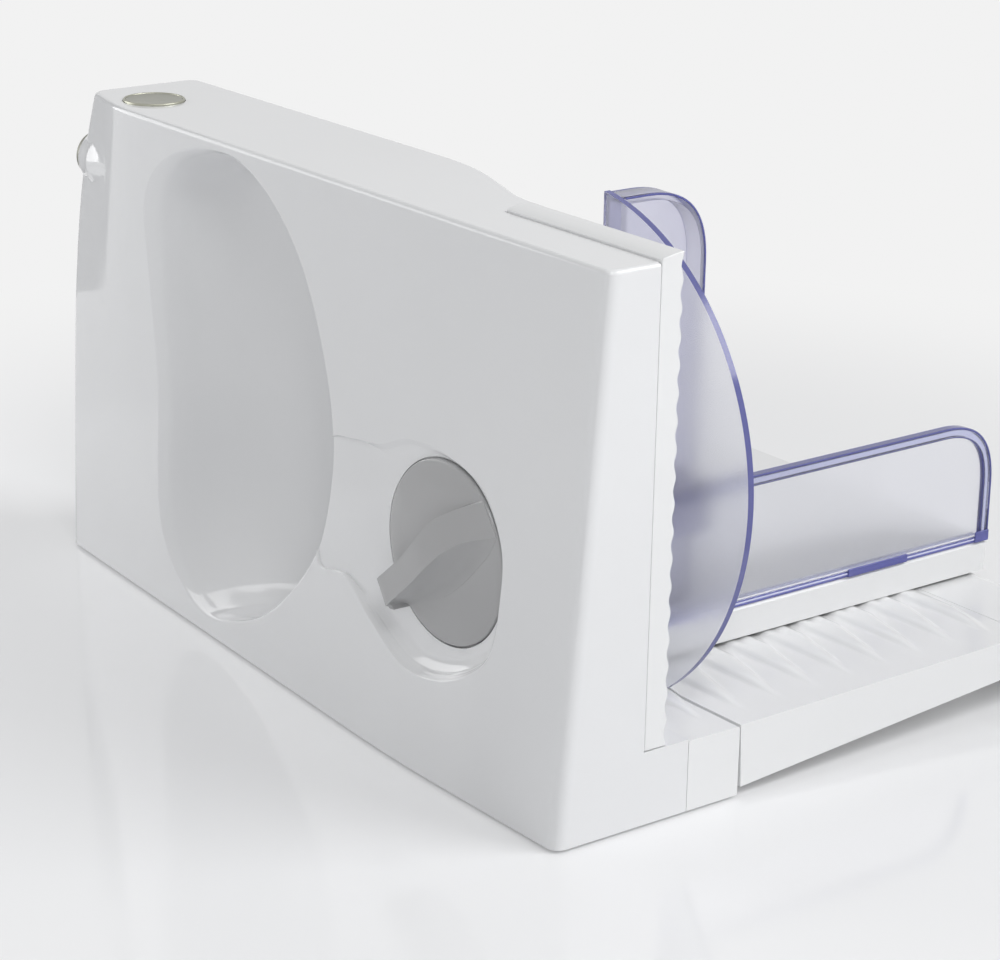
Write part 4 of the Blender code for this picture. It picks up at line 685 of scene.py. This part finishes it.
# Stop plate, table and carriage
def make_stop_plate():
    """Plate with fine ripples over its front, hollow at the back."""
    samples = RIPPLES * 14
    front = []
    for i in range(samples + 1):
        z = mix(STOP_FOOT, STOP_TOP, i / samples)
        wave = 0.5 - 0.5 * math.cos(2 * math.pi * RIPPLES * i / samples)
        front.append((STOP_CREST_Y + RIPPLE_DEPTH * wave, z))
    outline = front + [(STOP_BACK_Y - 6.0, STOP_TOP - 0.4), (STOP_BACK_Y - 0.7, HOUSING_TOP + 1.3),
                       (STOP_BACK_Y, HOUSING_TOP + 0.8), (STOP_BACK_Y, STOP_FOOT)]
    plate = loft([[(x, y, z) for y, z in outline] for x in (0.0, STOP_LENGTH)], "plate")
    floor_y = STOP_CREST_Y + RIPPLE_DEPTH + STOP_WALL
    tray = box(STOP_WALL, STOP_LENGTH - STOP_WALL, floor_y, STOP_BACK_Y + 5.0,
               STOP_FOOT + STOP_WALL, STOP_TRAY_TOP)
    piece = add_piece("ripple_plate", carve(plate, [tray]), "stop", MATS["white_satin"],
                      ("stop_plate",), 50.0)
    soften(piece, 0.35, 2, 60.0)


def rib_height(x, y):
    """Leaf shaped hollows between ridges that start as points, with a second row out of step."""
    edge = min(x - RIM_WIDTH, SLICER_LENGTH - RIM_WIDTH - x)
    if edge <= 0.0:
        return 0.0
    phase = 2 * math.pi * (TABLE_BACK_Y - RIB_PITCH / 2 - y - RIB_LEAN * min(edge, LEAF_LENGTH)) / RIB_PITCH
    ridge = clamp((math.cos(phase) - mix(1.0, -1.2, clamp(edge / LEAF_LENGTH))) / 1.2)
    inner = clamp((edge - HOLLOW_START) / HOLLOW_LENGTH)
    hollow = clamp((math.cos(phase) - mix(1.0, -0.1, inner)) / 0.9)
    ends = clamp((BLOCK_SEAM_Y - 3.0 - y) / 5.0) * clamp((y - TABLE_SEAM_Y - 2.0) / 4.0)
    height = ridge * (1 - 0.85 * hollow)
    return RIB_HEIGHT * height * height * (3 - 2 * height) * ends


def make_table():
    """Table with its relief on top; the underside keeps the model's hollow."""
    xs = [0.0, RIM_WIDTH * 0.6] + [mix(RIM_WIDTH, SLICER_LENGTH - RIM_WIDTH, k / 150) for k in range(151)]
    xs += [SLICER_LENGTH - RIM_WIDTH * 0.6, SLICER_LENGTH]
    rows = 150
    bm = bmesh.new()
    back_y = BLOCK_FRONT_Y - 0.45
    ys = [mix(back_y, TABLE_SEAM_Y, k / rows) for k in range(rows + 1)]

    def top_z(y):
        return mix(TABLE_TOP_BACK, TABLE_TOP_FRONT, clamp((TABLE_BACK_Y - y) / (TABLE_BACK_Y - TABLE_SEAM_Y)))

    def foot_z(y):
        return mix(TABLE_FOOT_BACK, TABLE_FOOT_FRONT, (TABLE_BACK_Y - y) / (TABLE_BACK_Y - TABLE_SEAM_Y))

    grid = [[bm.verts.new(place(x, y, top_z(y) + rib_height(x, y))) for x in xs] for y in ys]
    quads(bm, grid)
    low = [[bm.verts.new(place(x, y, foot_z(y))) for x in (0.0, SLICER_LENGTH)]
           for y in (TABLE_BACK_Y, ys[-1])]
    bm.faces.new((low[0][0], low[0][1], low[1][1], low[1][0]))
    bm.faces.new([low[0][0], low[0][1]] + list(reversed(grid[0])))
    bm.faces.new([low[1][0], low[1][1]] + list(reversed(grid[-1])))
    bm.faces.new([low[1][0], low[0][0]] + [row[0] for row in grid])
    bm.faces.new([low[1][1], low[0][1]] + [row[-1] for row in grid])
    wall = 2.6
    tools = [box(wall, SLICER_LENGTH - wall, TABLE_SEAM_Y + wall, TABLE_BACK_Y - 5.0,
                 -9.0, TABLE_TOP_BACK - wall)]
    knuckles = []
    for start in HINGE_STARTS:
        for x0 in (start, start + 2 * KNUCKLE_PITCH):
            tools.append(box(x0 - SEAM, x0 + KNUCKLE_PITCH, KNUCKLE_Y - 3.1, KNUCKLE_Y + 9.0,
                             KNUCKLE_Z - 3.1, 40.0))
        x0 = start + KNUCKLE_PITCH
        x1 = x0 + KNUCKLE_LENGTH
        knuckles.append(turned("X", (KNUCKLE_Y, KNUCKLE_Z), [(x0, 2.6), (x1, 2.6)], 32))
        knuckles.append(box(x0, x1, TABLE_BACK_Y - 2.0, KNUCKLE_Y, KNUCKLE_Z - 2.3, KNUCKLE_Z + 1.5))
    mesh = carve(carve(finished(bm, "table"), tools), knuckles, "UNION")
    even_shading(add_piece("relief_table", mesh, "housing", MATS["white_satin"],
                           ("folding_table",), 40.0))


def fine_copy(node, name, width):
    """A copy of a node's mesh with its edges rounded, in place of the node."""
    source = frame["nodes"][node]
    piece = bpy.data.objects.new(name, source.data.copy())
    piece.matrix_world = source.matrix_world.copy()
    bpy.context.scene.collection.objects.link(piece)
    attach(piece, body_of(source)[0])
    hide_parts(node)
    return soften(piece, width, 3)


def make_block():
    """The hinge block, with the table's relief carried on over its top, low enough for the stop plate."""
    source = frame["nodes"]["hinge_block"]
    mesh = source.data.copy()
    mesh.transform(source.matrix_world)
    if mesh.attributes.get("custom_normal"):
        mesh.attributes.remove(mesh.attributes["custom_normal"])
    xs = [mix(1.5, SLICER_LENGTH - 1.5, k / 150) for k in range(151)]
    ys = [mix(BLOCK_FRONT_Y + 0.8, BLOCK_SEAM_Y - 1.4, k / 30) for k in range(31)]
    bm = bmesh.new()
    sunk, foot = BLOCK_TOP - 0.45, BLOCK_TOP - 1.6
    top = [[bm.verts.new(place(x, y, sunk + BLOCK_RIB_SHARE * rib_height(x, y))) for x in xs] for y in ys]
    low = [[bm.verts.new(place(x, y, foot)) for x in xs] for y in ys]
    quads(bm, top)
    quads(bm, low, flipped=True)
    for rows in ((top[0], low[0]), (top[-1], low[-1]), ([r[0] for r in top], [r[0] for r in low]),
                 ([r[-1] for r in top], [r[-1] for r in low])):
        quads(bm, rows)
    mesh = carve(mesh, [finished(bm, "relief")], "UNION")
    even_shading(add_piece("block_body", mesh, "housing", MATS["white_satin"],
                           ("hinge_block",), 40.0))


# Clear pieces
def sheet(axis, outline, start, end):
    """A flat sheet."""
    return loft([[on_axis(axis, a, u, v) for u, v in outline] for a in (start, end)], "sheet")


def edge_strip(axis, outline, foot, offset, width, start, end, ease=0.25):
    """A strip with eased corners along the inside of an outline, above its foot."""
    rings = []
    for here, (u0, v0), (u1, v1) in zip(outline, inset(outline, offset), inset(outline, offset + width)):
        if here[1] < foot:
            continue
        step = ease / width
        section = [(0.0, start + ease), (step, start), (1 - step, start), (1.0, start + ease),
                   (1.0, end - ease), (1 - step, end), (step, end), (0.0, end - ease)]
        rings.append([on_axis(axis, a, mix(u0, u1, s), mix(v0, v1, s)) for s, a in section])
    return loft(rings, "strip")


def colour_edges(mesh, axis, edge_material):
    """The narrow faces of a sheet show the plastic's depth of colour."""
    mesh.materials.append(edge_material)
    index = "XYZ".index(axis)
    for face in mesh.polygons:
        if abs(face.normal[index]) < 0.5:
            face.material_index = 1


def wall_outline():
    """The low wall seen from its side."""
    back = GUARD_BACK_Y - CLEAR_THICK + 0.5
    foot = CARRIAGE_TOP + SEAM
    return rounded([(back, foot, 0.0), (back, WALL_TOP, 0.0), (WALL_FRONT_Y, WALL_TOP, WALL_CORNER_R),
                    (WALL_FRONT_Y, foot + 1.2, 0.0), (WALL_FRONT_Y, foot, 0.0)], 16)


def make_guard():
    """Low wall with a rim between two fine lines, and the half round guard over the blade."""
    foot = CARRIAGE_TOP + SEAM
    back = GUARD_BACK_Y - CLEAR_THICK
    outline = wall_outline()
    pane = [(y, max(z, foot + 2.3)) for y, z in inset(outline, 0.4)]
    mesh = sheet("X", pane, WALL_X + 0.3, WALL_X + CLEAR_THICK - 0.3)
    add_piece("guard_wall", mesh, "carriage", MATS["clear_blue"], ("backrest_guard",))
    for name, offset, width, out, material in (("rim", 0.9, 3.0, 0.5, BLUE_BAND),
                                               ("rim_line", 0.0, 0.9, 0.6, BLUE_EDGE),
                                               ("rim_inner", 3.9, 0.5, 0.3, BLUE_EDGE)):
        strip = edge_strip("X", outline, foot + 1.0, offset, width, WALL_X - out, WALL_X + CLEAR_THICK + out)
        add_piece(f"guard_wall_{name}", strip, "carriage", material)

    for name, x0, x1, z0, z1, material in (("band", 0.0, 5.5, 0.0, 2.2, BLUE_BAND),
                                           ("foot_line", -0.6, -0.05, 0.0, 0.8, BLUE_EDGE),
                                           ("foot_edge", -0.6, -0.05, 1.6, 2.2, BLUE_EDGE)):
        strip = box(WALL_X + x0, WALL_X + x1, WALL_FRONT_Y + 4.0, CARRIAGE_BACK_Y - 1.0, foot + z0, foot + z1)
        soften(add_piece(f"guard_{name}", strip, "carriage", material), 0.2)
    clips = ((WALL_FRONT_Y + 0.4, WALL_FRONT_Y + 8.0, 4.6), (-218.0, -186.0, 3.4))
    for k, (y0, y1, high) in enumerate(clips):
        clip = box(WALL_X - 1.6, WALL_X - 0.65, y0, y1, foot, foot + high)
        soften(add_piece(f"guard_clip_{k + 1}", clip, "carriage", BLUE_EDGE), 0.5)

    low_a = 2 * math.pi - math.acos(-math.sqrt(GUARD_R ** 2 - (GUARD_Z - GUARD_FOOT) ** 2) / GUARD_R)
    top_a = math.acos((GUARD_CHORD_X - GUARD_X) / GUARD_R)
    arc = [(GUARD_X + GUARD_R * math.cos(a), GUARD_Z + GUARD_R * math.sin(a))
           for a in (mix(low_a, top_a, k / 120) for k in range(121))]
    disc = sheet("Y", [(GUARD_CHORD_X, GUARD_FOOT)] + arc, GUARD_BACK_Y, back)
    piece = add_piece("guard_disc", disc, "carriage", MATS["clear_blue"])
    colour_edges(piece.data, "Y", BLUE_EDGE)


def make_holder():
    """Tall tray that rides on the low wall, with a deep rim and a hook over the wall's top."""
    x = GUARD_CHORD_X + SEAM
    back = GUARD_BACK_Y - CLEAR_THICK - SLIDE_GAP
    foot = CARRIAGE_TOP + SLIDE_GAP
    face = rounded([(back, foot, 0.0), (back, HOLDER_TOP, 0.0), (HOLDER_FRONT_Y, HOLDER_TOP, HOLDER_CORNER_R),
                    (HOLDER_FRONT_Y, foot + 3.2, 0.0), (HOLDER_FRONT_Y, foot, 0.0)], 18)
    mesh = sheet("X", face, x - HOLDER_RIM, x + CLEAR_THICK)
    mesh = carve(mesh, [sheet("X", inset(face, CLEAR_THICK), x - HOLDER_RIM - 5.0, x)])
    hook_x = WALL_X - SLIDE_GAP - CLEAR_THICK
    low_y, high_y, top = HOLDER_FRONT_Y + 4.0, back - 3.0, WALL_TOP + SLIDE_GAP + 0.2
    mesh = carve(mesh, [box(hook_x, x + 1.0, low_y, high_y, top + 0.4, top + CLEAR_THICK),
                        box(hook_x, hook_x + CLEAR_THICK, low_y, high_y, WALL_TOP - 16.0, top + 1.0)], "UNION")
    piece = add_piece("holder_tray", mesh, "holder", HOLDER_BLUE, ("remnant_holder",))
    soften(piece, 0.4, 2, 60.0)
    # Fine darker lines where the rim's edges show the plastic's depth of colour
    for name, start, inward in (("edge", x - HOLDER_RIM - 0.1, 0.0),
                                ("back_edge", x + CLEAR_THICK - 0.9, -0.05)):
        strip = edge_strip("X", face, foot + 3.0, inward, 0.9, start, start + 1.0, 0.2)
        add_piece(f"holder_{name}", strip, "holder", BLUE_EDGE)


make_housing()
make_dial()
make_key("top_key", "Z", TOP_BUTTON, HOUSING_TOP + 0.9, TOP_BUTTON_R, "top_key", "top_button", RIM_METAL)
make_key("side_key", "X", SIDE_BUTTON, SIDE_BUTTON_X, SIDE_BUTTON_R, "side_key", "side_button",
         MATS["button_metal"])
make_stop_plate()
make_table()
make_block()
for node, name, width in (("table_end_cap", "end_cap_body", 0.6), ("carriage_base", "carriage_body", 0.7)):
    fine_copy(node, name, width)
make_guard()
make_holder()


# Floor, light and camera
def make_floor():
    """Pale glossy floor that fades into the background away from the object."""
    bm = bmesh.new()
    bmesh.ops.create_circle(bm, cap_ends=True, segments=96, radius=6.0)
    mesh = bpy.data.meshes.new("floor")
    bm.to_mesh(mesh)
    bm.free()
    floor = bpy.data.objects.new("floor", mesh)
    floor.location = (0.0, 0.0, -0.0002)
    bpy.context.scene.collection.objects.link(floor)
    n = Nodes("studio_floor")
    n.shader.inputs["Base Color"].default_value = (0.90, 0.905, 0.92, 1.0)
    n.link(n.span(n.noise(3.0, 2.0), 0.3, 0.7, 0.07, 0.10), n.shader.inputs["Roughness"])
    split = n.add("ShaderNodeVectorMath", operation="LENGTH")
    n.link(n.position(), split.inputs[0])
    fade = n.span(split.outputs["Value"], 0.24, 0.58, 0.22, 1.0)
    fade.node.interpolation_type = "SMOOTHSTEP"
    glow = n.add("ShaderNodeEmission")
    glow.inputs["Color"].default_value = (BACK, BACK, BACK, 1.0)
    rays = n.add("ShaderNodeLightPath")
    seen = n.math("MAXIMUM", rays.outputs["Is Camera Ray"],
                  n.math("MAXIMUM", rays.outputs["Is Glossy Ray"], rays.outputs["Is Transmission Ray"]))
    blend = n.add("ShaderNodeMixShader")
    n.link(n.math("MULTIPLY", fade, seen), blend.inputs["Fac"])
    n.link(n.shader.outputs["BSDF"], blend.inputs[1])
    n.link(glow.outputs["Emission"], blend.inputs[2])
    n.link(blend.outputs["Shader"], n.out.inputs["Surface"])
    mesh.materials.append(n.mat)


def make_world():
    """A weak even light, with the plain pale background for camera, mirror and clear rays."""
    world = bpy.data.worlds.new("studio")
    bpy.context.scene.world = world
    world.use_nodes = True
    tree = world.node_tree
    tree.nodes.clear()
    out = tree.nodes.new("ShaderNodeOutputWorld")
    light = tree.nodes.new("ShaderNodeBackground")
    light.inputs["Color"].default_value = (0.98, 0.99, 1.0, 1.0)
    light.inputs["Strength"].default_value = 0.28
    seen = tree.nodes.new("ShaderNodeBackground")
    seen.inputs["Color"].default_value = (BACK, BACK, BACK, 1.0)
    seen.inputs["Strength"].default_value = 1.0
    rays = tree.nodes.new("ShaderNodeLightPath")
    shown = rays.outputs["Is Camera Ray"]
    for output in ("Is Transmission Ray", "Is Glossy Ray"):
        either = tree.nodes.new("ShaderNodeMath")
        either.operation = "MAXIMUM"
        tree.links.new(shown, either.inputs[0])
        tree.links.new(rays.outputs[output], either.inputs[1])
        shown = either.outputs[0]
    blend = tree.nodes.new("ShaderNodeMixShader")
    tree.links.new(shown, blend.inputs["Fac"])
    tree.links.new(light.outputs[0], blend.inputs[1])
    tree.links.new(seen.outputs[0], blend.inputs[2])
    tree.links.new(blend.outputs[0], out.inputs["Surface"])


def area_light(name, at, target, size, power):
    data = bpy.data.lights.new(name, "AREA")
    data.shape = "RECTANGLE"
    data.size, data.size_y = size
    data.energy = power
    lamp = bpy.data.objects.new(name, data)
    lamp.location = at
    lamp.rotation_euler = (Vector(target) - Vector(at)).to_track_quat("-Z", "Y").to_euler()
    bpy.context.scene.collection.objects.link(lamp)


def make_card(name, corner_a, corner_b):
    """An upright dark card that only reflections show, as the screens round a studio table do."""
    (x0, y0, z0), (x1, y1, z1) = corner_a, corner_b
    mesh = bpy.data.meshes.new(name)
    mesh.from_pydata([(x0, y0, z0), (x1, y1, z0), (x1, y1, z1), (x0, y0, z1)], [], [(0, 1, 2, 3)])
    n = Nodes(name)
    n.shader.inputs["Base Color"].default_value = (0.12, 0.12, 0.12, 1.0)
    n.link(n.span(n.noise(5.0, 2.0), 0.3, 0.7, 0.7, 0.9), n.shader.inputs["Roughness"])
    mesh.materials.append(n.mat)
    card = bpy.data.objects.new(name, mesh)
    bpy.context.scene.collection.objects.link(card)
    card.visible_camera = card.visible_diffuse = card.visible_shadow = card.visible_transmission = False


def make_camera():
    """The camera at the photograph's viewing angle."""
    pitch, yaw, roll = (math.radians(a) for a in PHOTO_ANGLES)
    forward = Vector((math.cos(yaw) * math.cos(pitch), -math.sin(yaw) * math.cos(pitch), -math.sin(pitch)))
    level = Vector((-math.sin(yaw), -math.cos(yaw), 0.0))
    down = forward.cross(level)
    right = math.cos(roll) * level + math.sin(roll) * down
    under = -math.sin(roll) * level + math.cos(roll) * down
    data = bpy.data.cameras.new("camera")
    data.sensor_width = SENSOR_WIDTH
    data.lens = PHOTO_FOCAL / PHOTO_WIDTH * SENSOR_WIDTH
    data.clip_end = 30.0
    camera = bpy.data.objects.new("camera", data)
    rot = Matrix((right, -under, -forward)).transposed()
    camera.matrix_world = Matrix.Translation(place(*CAMERA_AT)) @ rot.to_4x4()
    bpy.context.scene.collection.objects.link(camera)
    bpy.context.scene.camera = camera


make_floor()
make_world()
make_card("card_near", (-0.26, 0.22, 0.035), (-0.26, 0.46, 0.5))
make_card("card_far", (0.43, 0.08, 0.05), (0.43, 0.19, 0.45))
area_light("key_side", (-1.2, -0.9, 1.4), (0.0, 0.0, 0.1), (1.1, 1.1), 22.0)
area_light("near_top", (-0.8, 0.45, 1.0), (0.0, 0.05, 0.1), (0.35, 0.35), 2.9)
area_light("view_fill", (-0.9, 0.9, 0.5), (0.05, 0.1, 0.1), (0.7, 0.7), 1.7)
area_light("far_fill", (0.6, 0.42, 0.3), (0.05, 0.1, 0.1), (0.5, 0.4), 1.6)
make_camera()

bpy.context.scene.view_settings.view_transform = "Standard"
